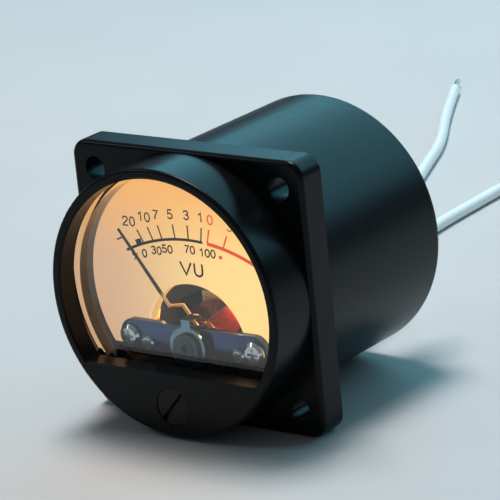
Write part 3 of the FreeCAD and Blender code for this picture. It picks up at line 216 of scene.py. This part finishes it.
def bare_strands(name, end, heading):
    """Tinned strands twisted together beyond the insulation, one of them in the middle."""
    form = bmesh.new()
    side = heading.cross(UPRIGHT).normalized()
    rise = side.cross(heading)

    def outward(angle):
        """The direction at an angle round the lead."""
        return side * math.cos(angle) + rise * math.sin(angle)

    for strand in range(OUTER_STRANDS + 1):
        ring = STRAND_RING if strand < OUTER_STRANDS else 0
        rings = []
        for step in range(STRAND_STEPS + 1):
            share = step / STRAND_STEPS
            lay = math.tau * strand / OUTER_STRANDS + STRAND_TWIST * share
            middle = end + heading * STRIPPED * share + outward(lay) * ring
            rings.append([form.verts.new(middle + outward(math.tau * n / STRAND_SIDES) * STRAND_RADIUS)
                          for n in range(STRAND_SIDES)])
        close_rod(form, rings)
    mesh = finished_mesh(name, form)
    for face in mesh.polygons:
        face.use_smooth = len(face.vertices) == 4
    return mesh


lead_white = surface("lead_insulation", (0.76, 0.80, 0.82), (0.88, 0.90, 0.91), 900, (0.32, 0.42), 2e-5)
tinned = surface("tinned_strands", (0.62, 0.6, 0.56), (0.8, 0.78, 0.74), 3000, (0.25, 0.4), 1e-5,
                 metal=1.0)
for name, route, length in (("upper", UPPER_ROUTE, UPPER_LENGTH), ("lower", LOWER_ROUTE, LOWER_LENGTH)):
    points = [Vector(point) * MM for point in route]
    heading = (points[-1] - points[-2]).normalized()
    tip = add(f"{name}_lead_strands", bare_strands(f"{name}_lead_strands", points[-1], heading),
              "housing", tinned)
    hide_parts("lead_tips")
    lead = add(f"{name}_lead", wire_curve(f"{name}_lead", points, LEAD_DIAMETER / 2),
               "housing", lead_white)
    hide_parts(f"lamp_lead_{name}")


# Bezel: one moulding of black plastic, flange, ring and lower segment together.
# It is satin, with soft broad highlights and faint flow marks from the mould.
def dress(node, finish):
    """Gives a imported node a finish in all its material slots."""
    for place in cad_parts[node].material_slots:
        place.material = finish


dress("front_bezel", surface("black_moulding", (0.0025, 0.003, 0.0035), (0.005, 0.006, 0.007), 260,
                             (0.22, 0.3), 2e-6, gleam=0.14))

# Window: clear acrylic with a skirt that reaches the dial, dropped into the bezel from behind.
# Light passes through it in both directions, so its shadow is left clear.
CLEAR_INDEX = 1.49
clear_acrylic = surface("clear_acrylic", (0.97, 0.98, 0.97), (1, 1, 1), 120, (0.01, 0.03), gleam=0.1)
set_sockets(shader_of(clear_acrylic), {"Transmission Weight": 1.0, "IOR": CLEAR_INDEX})
rays = node_of(clear_acrylic, "ShaderNodeLightPath")
gap = node_of(clear_acrylic, "ShaderNodeBsdfTransparent")
either = node_of(clear_acrylic, "ShaderNodeMixShader")
join(clear_acrylic, rays, "Is Shadow Ray", either, "Fac")
join(clear_acrylic, shader_of(clear_acrylic), "BSDF", either, 1)
join(clear_acrylic, gap, "BSDF", either, 2)
join(clear_acrylic, either, "Shader", clear_acrylic.node_tree.nodes["Material Output"], "Surface")
dress("window_lens", clear_acrylic)

# Rear case: a plain black barrel with a closed rear, and the movement's base plate inside it.
# The tool that turned it left fine lines round it, which stretch its highlights.
barrel_black = surface("turned_black", (0.002, 0.0025, 0.003), (0.006, 0.007, 0.008), 900,
                       (0.2, 0.42), 8e-6, stretch=(0.02, 9.0, 0.02), gleam=0.2)
dress("rear_case", barrel_black)
dress("movement_base", barrel_black)

# Dial: translucent cream plastic, lit from behind by two lamps, with that backlight painted into its
# emission.
# The painted light is warmest at the top and palest low on the right, past the movement.
GLOW_RISE = (0.001, 0.016)
GLOW_ACROSS = (-0.014, 0.008)


def fade(finish, start, end):
    """Adds a soft step from 0 to 1 between two values."""
    return node_of(finish, "ShaderNodeMapRange", {"From Min": start, "From Max": end},
                   interpolation_type="SMOOTHSTEP")


def paint_backlight(finish, colours, strength):
    """Paints backlight into a finish's emission: colours low on the left, low on the right and at the top."""
    place = node_of(finish, "ShaderNodeTexCoord")
    parts = node_of(finish, "ShaderNodeSeparateXYZ")
    upward = fade(finish, *GLOW_RISE)
    sideways = fade(finish, *GLOW_ACROSS)
    across = node_of(finish, "ShaderNodeMix",
                     {MIX_FIRST: (*colours[0], 1), MIX_SECOND: (*colours[1], 1)}, data_type="RGBA")
    whole = node_of(finish, "ShaderNodeMix", {MIX_SECOND: (*colours[2], 1)}, data_type="RGBA")
    join(finish, place, "Object", parts, "Vector")
    join(finish, parts, "Z", upward, "Value")
    join(finish, parts, "X", sideways, "Value")
    join(finish, sideways, "Result", across, "Factor")
    join(finish, upward, "Result", whole, "Factor")
    join(finish, across, MIX_RESULT, whole, MIX_FIRST)
    join(finish, whole, MIX_RESULT, shader_of(finish), "Emission Color")
    set_sockets(shader_of(finish), {"Emission Strength": strength})


dial_cream = surface("dial_cream", (0.22, 0.20, 0.17), (0.25, 0.23, 0.19), 500, (0.45, 0.6), 2e-6)
# The dial's glow is painted light: emission standing in for the lamps shining through it.
paint_backlight(dial_cream, [(0.62, 0.38, 0.22), (1.0, 0.68, 0.23), (0.90, 0.41, 0.09)], 1.05)
dress("dial_plate", dial_cream)

# Dial print: two inks screened on the dial's face, black for the scale and red for its end.
# Arcs, ticks and plain numbers follow circles about a point below the pivot.
DIAL_FACE = -4.4
INK_LIFT = 0.012
PRINT_FACE = DIAL_FACE - INK_LIFT
INK_DEPTH = 0.01 * MM
SCALE_CENTRE = (0.36, -16.2)
SCALE_RADIUS = 22.6
LEAN = 0.9
PIVOT_RISE = -6.9
BLACK_ARC = (SCALE_RADIUS - 0.17, SCALE_RADIUS + 0.18)
RED_ARC = (SCALE_RADIUS - 0.22, SCALE_RADIUS + 0.23)
START_BLOCK = (22.7, 23.35)
TICK_FOOT = SCALE_RADIUS + 0.06
TICK_LENGTH = 1.85
BLACK_TICK = 0.2
RED_TICK = 0.22
UPPER_ROW = 25.8
LOWER_ROW = 21.4
UPPER_FIGURE = {"height": 1.32, "pitch": 1.08}
LOWER_FIGURE = {"height": 1.15, "pitch": 0.86}
FIGURE_STROKE = 0.19
FIGURE_SPREAD = 1.32
FIGURE_CENTRE = 0.37
LETTER_TOP = 3.5
LETTER_FOOT = 1.9
LETTER_STROKE = 0.28
V_MIDDLE = -0.56
V_HALF = 0.84
U_MIDDLE = 1.37
U_HALF = 0.59
U_BOWL = 0.55
PERCENT_SLOPE = Vector((0.3, 0.5))
PERCENT_STROKE = 0.14
PERCENT_SIDE = 0.33
PERCENT_RING = (0.16, 0.21)
PERCENT_RING_STROKE = 0.13
MINUS = ((-11.0, 5.3), (-10.0, 5.75))
SIGN_STROKE = 0.2
PLUS_ROW = 25.4
PLUS_ARM = 0.4
DOT_RADIUS = 0.26
MITRE_LIMIT = 0.6


def on_scale(radius, degrees):
    """A point of the dial, in mm, at a radius and an angle from the scale's own middle line."""
    angle = math.radians(degrees + LEAN)
    return (SCALE_CENTRE[0] + radius * math.sin(angle), SCALE_CENTRE[1] + radius * math.cos(angle))


def ink_corner(form, x, z):
    """A corner of the print, at a point of the dial in mm."""
    return form.verts.new((x * MM, PRINT_FACE * MM, z * MM))


def add_band(form, radii, start, end, steps):
    """A flat band between two radii and two angles."""
    rows = []
    for step in range(steps + 1):
        degrees = start + (end - start) * step / steps
        rows.append([ink_corner(form, *on_scale(radius, degrees)) for radius in radii])
    for first, second in zip(rows, rows[1:]):
        form.faces.new((first[0], second[0], second[1], first[1]))


def add_line(form, points, width, closed=False):
    """A flat stroke of even width through points of the dial, in mm, with mitred corners."""
    places = [Vector(point) for point in points]
    count = len(places)
    rows = []
    for n, place in enumerate(places):
        ways = []
        if n or closed:
            ways.append((place - places[n - 1]).normalized())
        if n < count - 1 or closed:
            ways.append((places[(n + 1) % count] - place).normalized())
        way = sum(ways, Vector((0, 0))).normalized()
        side = Vector((-way.y, way.x)) * width / 2 / max(MITRE_LIMIT, way.dot(ways[0]))
        rows.append([ink_corner(form, *corner) for corner in (place - side, place + side)])
    for first, second in zip(rows, rows[1:] + rows[:1] * closed):
        form.faces.new((first[0], first[1], second[1], second[0]))


def round_way(x, z, across, upright, start=0, turn=360, steps=20):
    """Points along an ellipse, or part of one."""
    angles = [math.radians(start + turn * n / steps) for n in range(steps + (turn < 360))]
    return [(x + across * math.cos(a), z + upright * math.sin(a)) for a in angles]


# Each figure is one pen stroke in a box one unit high and about half as wide.
FIGURES = {
    "0": round_way(0.28, 0.5, 0.25, 0.5),
    "1": [(0.10, 0.76), (0.34, 1), (0.34, 0)],
    "2": [(0.04, 0.70), (0.07, 0.87), (0.17, 0.97), (0.28, 1), (0.42, 0.96), (0.51, 0.84), (0.51, 0.70),
          (0.43, 0.54), (0.27, 0.36), (0.11, 0.18), (0.03, 0), (0.54, 0)],
    "3": [(0.05, 0.78), (0.11, 0.93), (0.26, 1), (0.42, 0.94), (0.49, 0.78), (0.43, 0.62), (0.24, 0.54),
          (0.44, 0.47), (0.52, 0.29), (0.44, 0.09), (0.26, 0), (0.10, 0.07), (0.03, 0.24)],
    "5": [(0.48, 1), (0.13, 1), (0.07, 0.50), (0.20, 0.60), (0.34, 0.61), (0.47, 0.50), (0.52, 0.32),
          (0.46, 0.12), (0.30, 0.01), (0.14, 0.03), (0.03, 0.20)],
    "7": [(0.03, 1), (0.54, 1), (0.36, 0.66), (0.24, 0.32), (0.20, 0)],
}


def add_number(form, text, middle, height, pitch):
    """A plain number, upright, centred on a point of the dial, in mm."""
    tall = height - FIGURE_STROKE
    for place, figure in enumerate(text):
        left = middle[0] + (place - (len(text) - 1) / 2) * pitch - FIGURE_CENTRE * tall
        points = [(left + x * FIGURE_SPREAD * tall, middle[1] + (z - 0.5) * tall)
                  for x, z in FIGURES[figure]]
        add_line(form, points, FIGURE_STROKE, closed=figure == "0")


def add_tick(form, degrees, width):
    """A tick that starts on the arc and points away from the movement's pivot."""
    foot = Vector(on_scale(TICK_FOOT, degrees))
    way = (foot - Vector((0, PIVOT_RISE))).normalized()
    add_line(form, (foot, foot + way * TICK_LENGTH), width)


def printed(name, form, finish):
    """One ink's print as a thin raised piece on the dial."""
    for face in form.faces:
        if face.normal.y > 0:
            face.normal_flip()
    piece = add(name, finished_mesh(name, form), "housing", finish)
    thick = piece.modifiers.new("ink", "SOLIDIFY")
    thick.thickness = INK_DEPTH
    thick.offset = -1


def light_up(finish, colour, strength):
    """Makes a whole finish give off light of one colour."""
    set_sockets(shader_of(finish), {"Emission Color": (*colour, 1), "Emission Strength": strength})


black = bmesh.new()
add_band(black, BLACK_ARC, -27.0, 4.3, steps=60)
add_band(black, START_BLOCK, -22.2, -19.9, steps=3)
for degrees in (-19.2, -15.2, -11.5, -6.2, -1.1, 3.7):
    add_tick(black, degrees, BLACK_TICK)
for text, degrees in (("20", -21.7), ("10", -16.0), ("7", -11.7), ("5", -6.6), ("3", -1.0), ("1", 3.8)):
    add_number(black, text, on_scale(UPPER_ROW, degrees), **UPPER_FIGURE)
for text, degrees in (("0", -20.5), ("30", -15.1), ("50", -10.4), ("70", -1.0), ("100", 6.2)):
    add_number(black, text, on_scale(LOWER_ROW, degrees), **LOWER_FIGURE)
percent = Vector(on_scale(LOWER_ROW, -24.6))
add_line(black, (percent - PERCENT_SLOPE, percent + PERCENT_SLOPE), PERCENT_STROKE)
for side in (-PERCENT_SIDE, PERCENT_SIDE):
    ring = round_way(percent.x + side, percent.y - side, *PERCENT_RING, steps=12)
    add_line(black, ring, PERCENT_RING_STROKE, closed=True)
add_line(black, MINUS, SIGN_STROKE)
add_line(black, [(V_MIDDLE - V_HALF, LETTER_TOP), (V_MIDDLE, LETTER_FOOT), (V_MIDDLE + V_HALF, LETTER_TOP)],
         LETTER_STROKE)
bowl = round_way(U_MIDDLE, LETTER_FOOT + U_BOWL, U_HALF, U_BOWL, start=180, turn=180, steps=12)
add_line(black, [(U_MIDDLE - U_HALF, LETTER_TOP)] + bowl + [(U_MIDDLE + U_HALF, LETTER_TOP)],
         LETTER_STROKE)
black_ink = surface("black_ink", (0.010, 0.006, 0.004), (0.03, 0.016, 0.008), 2500, (0.5, 0.65), gleam=0.2)
printed("dial_scale_black", black, black_ink)

red = bmesh.new()
add_band(red, RED_ARC, 6.0, 27.2, steps=44)
for degrees in (6.2, 12.2):
    add_tick(red, degrees, RED_TICK)
for text, degrees in (("0", 7.0), ("3", 13.5)):
    add_number(red, text, on_scale(UPPER_ROW, degrees), **UPPER_FIGURE)
plus = Vector(on_scale(PLUS_ROW, 19.0))
for arm in (Vector((PLUS_ARM, 0)), Vector((0, PLUS_ARM))):
    add_line(red, (plus - arm, plus + arm), SIGN_STROKE)
red.faces.new([ink_corner(red, *corner) for corner in
               round_way(*on_scale(LOWER_ROW, 11.5), DOT_RADIUS, DOT_RADIUS)])
red_ink = surface("red_ink", (0.5, 0.02, 0.008), (0.6, 0.03, 0.01), 2500, (0.5, 0.65), gleam=0.2)
# The red print's glow is painted light: emission standing in for backlight through the dial.
light_up(red_ink, (0.90, 0.07, 0.015), 0.75)
printed("dial_scale_red", red, red_ink)

# Light guide: a clear plate behind the dial that carries the lamps' light across.
# That light is painted into it as emission, which shows as the glowing cut edge round the dial's hole.
guide_clear = surface("light_guide_acrylic", (0.30, 0.24, 0.16), (0.34, 0.28, 0.19), 600, (0.25, 0.4))
# The guide's glow is painted light, emission standing in for the lamps' light in the plate.
paint_backlight(guide_clear, [(0.72, 0.40, 0.17), (1.0, 0.62, 0.22), (0.8, 0.36, 0.08)], 0.75)
dress("light_guide", guide_clear)

# Light box: a matte white tray round the movement, with the lamp board on its floor.
# Its inside throws the lamps' light forward.
dress("light_box", surface("light_box_white", (0.80, 0.78, 0.72), (0.86, 0.84, 0.80), 300, (0.5, 0.7), 4e-6))
dress("lamp_board", surface("board_green", (0.02, 0.10, 0.04), (0.04, 0.16, 0.06), 900, (0.35, 0.5), 4e-6))

# Lamps: two small lit glass bulbs, warm like a filament's light, held in caps on the board.
# White wires run from the leads to the board, and from the terminals to the springs.
lamp_glass = surface("lamp_glass", (1.0, 0.75, 0.4), (1.0, 0.85, 0.55), 800, (0.05, 0.1))
light_up(lamp_glass, (1.0, 0.6, 0.25), 4.0)
dress("lamp_bulbs", lamp_glass)
dress("lamp_wires_inner", lead_white)
dress("signal_wires", lead_white)

# Brass fittings: the lamps' caps, the posts and tubes that carry the bridges, the blocks that
# hold the magnet, the sliding weights and the rear spring's lug, all turned or cut from bar.
brass = surface("turned_brass", (0.62, 0.40, 0.14), (0.80, 0.56, 0.24), 1800, (0.22, 0.36), 4e-6, metal=1.0)
for node in ("lamp_caps", "bridge_pillars", "front_tie_spacers", "rear_tie_spacers",
             "core_spacers", "balance_weights", "spring_anchor"):
    dress(node, brass)

# Bridges: strips of polished plate with faint grinding marks; their dark bluish colour is a painted
# reflection.
# Their screws, and the case's, are bright nickel with cross recesses.
EDGE_SEGMENTS = 3
EDGE_ANGLE = math.radians(50)


def soften(node, width):
    """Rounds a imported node's sharp edges a little, as tumbling and plating do."""
    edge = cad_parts[node].modifiers.new("worn_edges", "BEVEL")
    edge.width = width * MM
    edge.segments = EDGE_SEGMENTS
    edge.limit_method = "ANGLE"
    edge.angle_limit = EDGE_ANGLE


# The plate's dark blue is a painted reflection of dark blue surroundings, not the nickel's own colour.
nickel = surface("nickel_plate", (0.035, 0.06, 0.14), (0.08, 0.13, 0.26), 700, (0.1, 0.2), 6e-7,
                 metal=1.0, stretch=(0.15, 1.0, 2.5))
screw_nickel = surface("screw_nickel", (0.46, 0.54, 0.58), (0.74, 0.82, 0.84), 2600, (0.08, 0.18), 8e-7,
                       metal=1.0)
for node in ("front_bridge", "rear_bridge"):
    dress(node, nickel)
for node in ("bridge_screws", "base_screws", "tie_screws", "rear_tie_screws", "case_screws"):
    dress(node, screw_nickel)
soften("front_bridge", 0.09)

# Yoke and core: a black soft-iron ring round a ground magnet.
# The magnet's face is a dull mirror; the red of the winding round it is a painted reflection in its colour.
dress("magnet_yoke", surface("black_iron", (0.006, 0.005, 0.005), (0.014, 0.012, 0.010), 1100,
                             (0.45, 0.65), 6e-6, gleam=0.15))
# The red-brown of the magnet's colour is a painted reflection of the winding.
dress("core_magnet", surface("ground_magnet", (0.20, 0.06, 0.045), (0.36, 0.12, 0.09), 500, (0.2, 0.34),
                             6e-7, metal=1.0))
soften("magnet_yoke", 0.12)
soften("core_magnet", 0.18)

# Coil: a thin bright aluminium frame wound with red enamelled copper.
# The turns lie side by side round the frame, so fine lines run along it.
COIL_AT_REST = math.radians(36.65)
dress("coil_former", surface("coil_aluminium", (0.7, 0.7, 0.68), (0.85, 0.84, 0.82), 1800, (0.18, 0.32), 3e-6,
                             metal=1.0))
dress("coil_winding", surface("red_enamel", (0.16, 0.012, 0.008), (0.40, 0.04, 0.016), 2400, (0.15, 0.32),
                              2.4e-5, metal=0.35, stretch=(0.05, 0.05, 5.0), turn=COIL_AT_REST))

# Pivots, hairsprings and jewels: hard steel points that turn in the cups of two blued screws.
# The springs are flat bronze strip, coiled in one plane.
steel = surface("pivot_steel", (0.42, 0.42, 0.43), (0.62, 0.62, 0.63), 2500, (0.14, 0.26), 2e-6, metal=1.0)
for node in ("front_pivot", "rear_pivot"):
    dress(node, steel)
bronze = surface("spring_bronze", (0.72, 0.42, 0.22), (0.86, 0.58, 0.34), 3000, (0.16, 0.28), metal=1.0)
for node in ("front_hairspring", "rear_hairspring"):
    dress(node, bronze)
blued = surface("blued_steel", (0.03, 0.045, 0.055), (0.08, 0.10, 0.12), 900, (0.14, 0.24), 6e-7, metal=0.8)
for node in ("front_jewel_screw", "rear_jewel_screw", "front_lock_nut"):
    dress(node, blued)
dress("rear_lock_nut", screw_nickel)
for node in ("front_lock_nut", "rear_lock_nut"):
    soften(node, 0.08)

# Pointer: a bent needle, bare at its root, where the lamps' warm light is painted into its colour, and black
# paint beyond.
# A bronze tail and two side arms behind the hub carry its brass weights.
PIVOT_HEIGHT = PIVOT_RISE * MM
NEEDLE_HUB = (0, -4.0 * MM, PIVOT_HEIGHT)
BARE_END = 7.0 * MM
BARE_FADE = 1.0 * MM
# The bare root's warm colour is painted lamplight on the bare metal.
ROOT_PAINTED_LAMPLIGHT = (0.98, 0.68, 0.36)
BARE_METAL = 0.9


def first_node(finish, kind):
    """The first shader node of a kind in a finish."""
    return next(node for node in finish.node_tree.nodes if node.type == kind)


needle = surface("pointer_paint", (0.012, 0.01, 0.01), (0.03, 0.025, 0.02), 2500, (0.35, 0.5))
paint = first_node(needle, "MIX")
place = first_node(needle, "TEX_COORD")
reach = node_of(needle, "ShaderNodeVectorMath", {1: NEEDLE_HUB}, operation="DISTANCE")
bare = fade(needle, BARE_END, BARE_END + BARE_FADE)
coat = node_of(needle, "ShaderNodeMix", {MIX_FIRST: (*ROOT_PAINTED_LAMPLIGHT, 1)}, data_type="RGBA")
shine = node_of(needle, "ShaderNodeMapRange", {"To Min": BARE_METAL, "To Max": 0.0})
join(needle, place, "Object", reach, 0)
join(needle, reach, "Value", bare, "Value")
join(needle, bare, "Result", coat, "Factor")
join(needle, bare, "Result", shine, "Value")
join(needle, paint, MIX_RESULT, coat, MIX_SECOND)
join(needle, coat, MIX_RESULT, shader_of(needle), "Base Color")
join(needle, shine, "Result", shader_of(needle), "Metallic")
dress("pointer", needle)
dress("balance_arms", bronze)

# Zero lever: a pressed steel disc with the spring's lug above and a fork below.
# The outer turn of the spring is soldered to the lug.
SOLDER_PLACE = Vector((0, -4.15 * MM, PIVOT_HEIGHT + 3.5 * MM))
SOLDER_SIZE = 0.42 * MM
SOLDER_SPREAD = (1.35, 0.8, 0.62)
SWELL_ALONG = 0.12
SWELL_UP = 0.1
WAVES_ALONG = 5200
WAVES_UP = 6100
SOLDER_DETAIL = 4


def solder_drop(name, middle, size):
    """A rounded, slightly sunken drop of solder."""
    form = bmesh.new()
    bmesh.ops.create_icosphere(form, subdivisions=SOLDER_DETAIL, radius=size)
    for vertex in form.verts:
        swell = (1 + SWELL_ALONG * math.sin(vertex.co.x * WAVES_ALONG)
                 + SWELL_UP * math.cos(vertex.co.z * WAVES_UP))
        spread = Vector([along * share for along, share in zip(vertex.co, SOLDER_SPREAD)])
        vertex.co = spread * swell + middle
    for face in form.faces:
        face.smooth = True
    return finished_mesh(name, form)


# The lever's bluish steel colour is a painted reflection of blue surroundings.
dress("zero_lever", surface("lever_steel", (0.14, 0.24, 0.30), (0.26, 0.38, 0.46), 800, (0.16, 0.26), 6e-7,
                            metal=1.0))
soften("zero_lever", 0.05)
solder = surface("bright_solder", (0.70, 0.62, 0.48), (0.86, 0.80, 0.68), 2600, (0.1, 0.22), 6e-6, metal=1.0)
add("front_spring_solder", solder_drop("front_spring_solder", SOLDER_PLACE, SOLDER_SIZE),
    "zero_lever_group", solder)

# Zero adjuster: a black plastic screw with one deep slot, a little below the ring's face.
# Turning it swings the lever through a pin set off its centre.
dress("zero_adjust_screw", surface("adjuster_black", (0.003, 0.003, 0.0035), (0.007, 0.007, 0.008), 700,
                                   (0.25, 0.4), 2e-6, gleam=0.2))
soften("zero_adjust_screw", 0.1)

# Terminals: two brass studs through the rear wall with fibre washers and hexagon nuts.
# Tinned tags under the nuts take the wires that bring the signal.
STUD_SIDE = 8.5
STUD_HEIGHT = 2.0
STUD_RADIUS = 1.5
STUD_ROOT = 1.25
STUD_HEAD = 2.6
HEAD_BEVEL = 0.15
HEAD_START = 22.1
HEAD_END = 23.3
THREAD_START = 28.3
THREAD_END = 33.4
THREAD_PITCH = 0.5
THREAD_DEPTH = 0.27
THREAD_BEVEL = 0.5
RINGS_PER_TURN = 6
STUD_SIDES = 32


def thread_radius(y, share):
    """The thread's radius at a place along the stud and a share of a turn round it."""
    phase = (y / THREAD_PITCH - share) % 1
    depth = THREAD_DEPTH * (1 - abs(2 * phase - 1))
    return min(STUD_RADIUS - depth, STUD_RADIUS - THREAD_BEVEL + (THREAD_END - y))


def threaded_stud(name, side):
    """A stud: a flat head, a plain root through the wall, and a thread with a bevelled end."""
    form = bmesh.new()
    shares = [n / STUD_SIDES for n in range(STUD_SIDES)]
    profile = [(HEAD_START, STUD_HEAD - HEAD_BEVEL), (HEAD_START + HEAD_BEVEL, STUD_HEAD),
               (HEAD_END, STUD_HEAD), (HEAD_END, STUD_ROOT), (THREAD_START, STUD_ROOT)]
    stations = [(y, [radius] * STUD_SIDES) for y, radius in profile]
    steps = round((THREAD_END - THREAD_START) / THREAD_PITCH * RINGS_PER_TURN)
    for step in range(1, steps + 1):
        y = THREAD_START + (THREAD_END - THREAD_START) * step / steps
        stations.append((y, [thread_radius(y, share) for share in shares]))
    rings = [[form.verts.new(((side + radius * math.cos(math.tau * share)) * MM, y * MM,
                              (STUD_HEIGHT + radius * math.sin(math.tau * share)) * MM))
              for share, radius in zip(shares, radii)] for y, radii in stations]
    close_rod(form, rings)
    return finished_mesh(name, form)


stud_brass = surface("stud_brass", (0.60, 0.42, 0.18), (0.78, 0.58, 0.28), 2200, (0.2, 0.35), 3e-6, metal=1.0)
for name, side in (("left_stud_thread", -STUD_SIDE), ("right_stud_thread", STUD_SIDE)):
    stud = add(name, threaded_stud(name, side), "housing", stud_brass)
    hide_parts("terminal_studs")
dress("terminal_washers", surface("red_fibre", (0.20, 0.05, 0.025), (0.30, 0.09, 0.05), 1400, (0.5, 0.7),
                                  1e-5))
dress("solder_tags", surface("tinned_tag", (0.60, 0.59, 0.56), (0.78, 0.77, 0.74), 1700, (0.22, 0.4), 5e-6,
                             metal=1.0))
dress("terminal_nuts", screw_nickel)
soften("terminal_nuts", 0.18)
soften("solder_tags", 0.06)

# Grommet: a ring of soft black rubber, pressed into the rear wall round the two leads.
# It keeps the hole's edge off their insulation.
dress("lead_grommet", surface("black_rubber", (0.012, 0.012, 0.012), (0.03, 0.03, 0.03), 1200, (0.55, 0.75),
                              1e-5))

# Stage: a pale plain surface under the meter and soft light from above, behind and the left.
# A small warm light stands before each lamp, and a faint one in the dial's hole.
FLOOR_HALF = 12.0
SKY_COLOUR = (0.72, 0.86, 0.95)
SKY_STRENGTH = 0.13
FILAMENT_COLOUR = (1.0, 0.58, 0.22)
FILAMENT_SIZE = 0.6 * MM
FILAMENTS = [(-4.0, -1.9, 6.8, 0.03), (4.0, -1.9, 6.8, 0.03), (5.2, -2.6, -1.6, 0.0028)]

corners = [(x * FLOOR_HALF, y * FLOOR_HALF, SURFACE * MM) for x, y in ((-1, -1), (1, -1), (1, 1), (-1, 1))]
floor_mesh = bpy.data.meshes.new("floor")
floor_mesh.from_pydata(corners, [], [(0, 1, 2, 3)])
floor_mesh.materials.append(surface("pale_floor", (0.56, 0.54, 0.53), (0.60, 0.58, 0.57), 40, (0.6, 0.8)))
floor = place_object("floor", floor_mesh)

world = bpy.data.worlds.new("studio")
world.use_nodes = True
set_sockets(world.node_tree.nodes["Background"], {"Color": (*SKY_COLOUR, 1), "Strength": SKY_STRENGTH})
bpy.context.scene.world = world
bpy.context.scene.view_settings.view_transform = "Standard"


def soft_light(name, place, size, power, colour):
    """A large soft light, wide and tall in metres, aimed at the meter."""
    lamp = bpy.data.lights.new(name, "AREA")
    lamp.shape = "RECTANGLE"
    lamp.size, lamp.size_y = size
    lamp.energy = power
    lamp.color = colour
    holder = place_object(name, lamp)
    holder.location = place
    holder.rotation_euler = (-Vector(place)).to_track_quat("-Z", "Y").to_euler()


soft_light("top_light", (-0.10, 0.10, 0.55), (0.2, 0.2), 3.0, (0.95, 0.98, 1.0))
soft_light("back_light", (0.04, 0.58, 0.38), (1.2, 0.3), 2.9, (0.24, 0.78, 1.0))
soft_light("left_light", (-0.45, -0.30, 0.4), (0.12, 0.12), 0.3, (0.8, 0.95, 1.0))
for x, y, z, power in FILAMENTS:
    lamp = bpy.data.lights.new("filament", "POINT")
    lamp.energy = power
    lamp.color = FILAMENT_COLOUR
    lamp.shadow_soft_size = FILAMENT_SIZE
    holder = place_object("filament", lamp)
    holder.location = (x * MM, y * MM, z * MM)
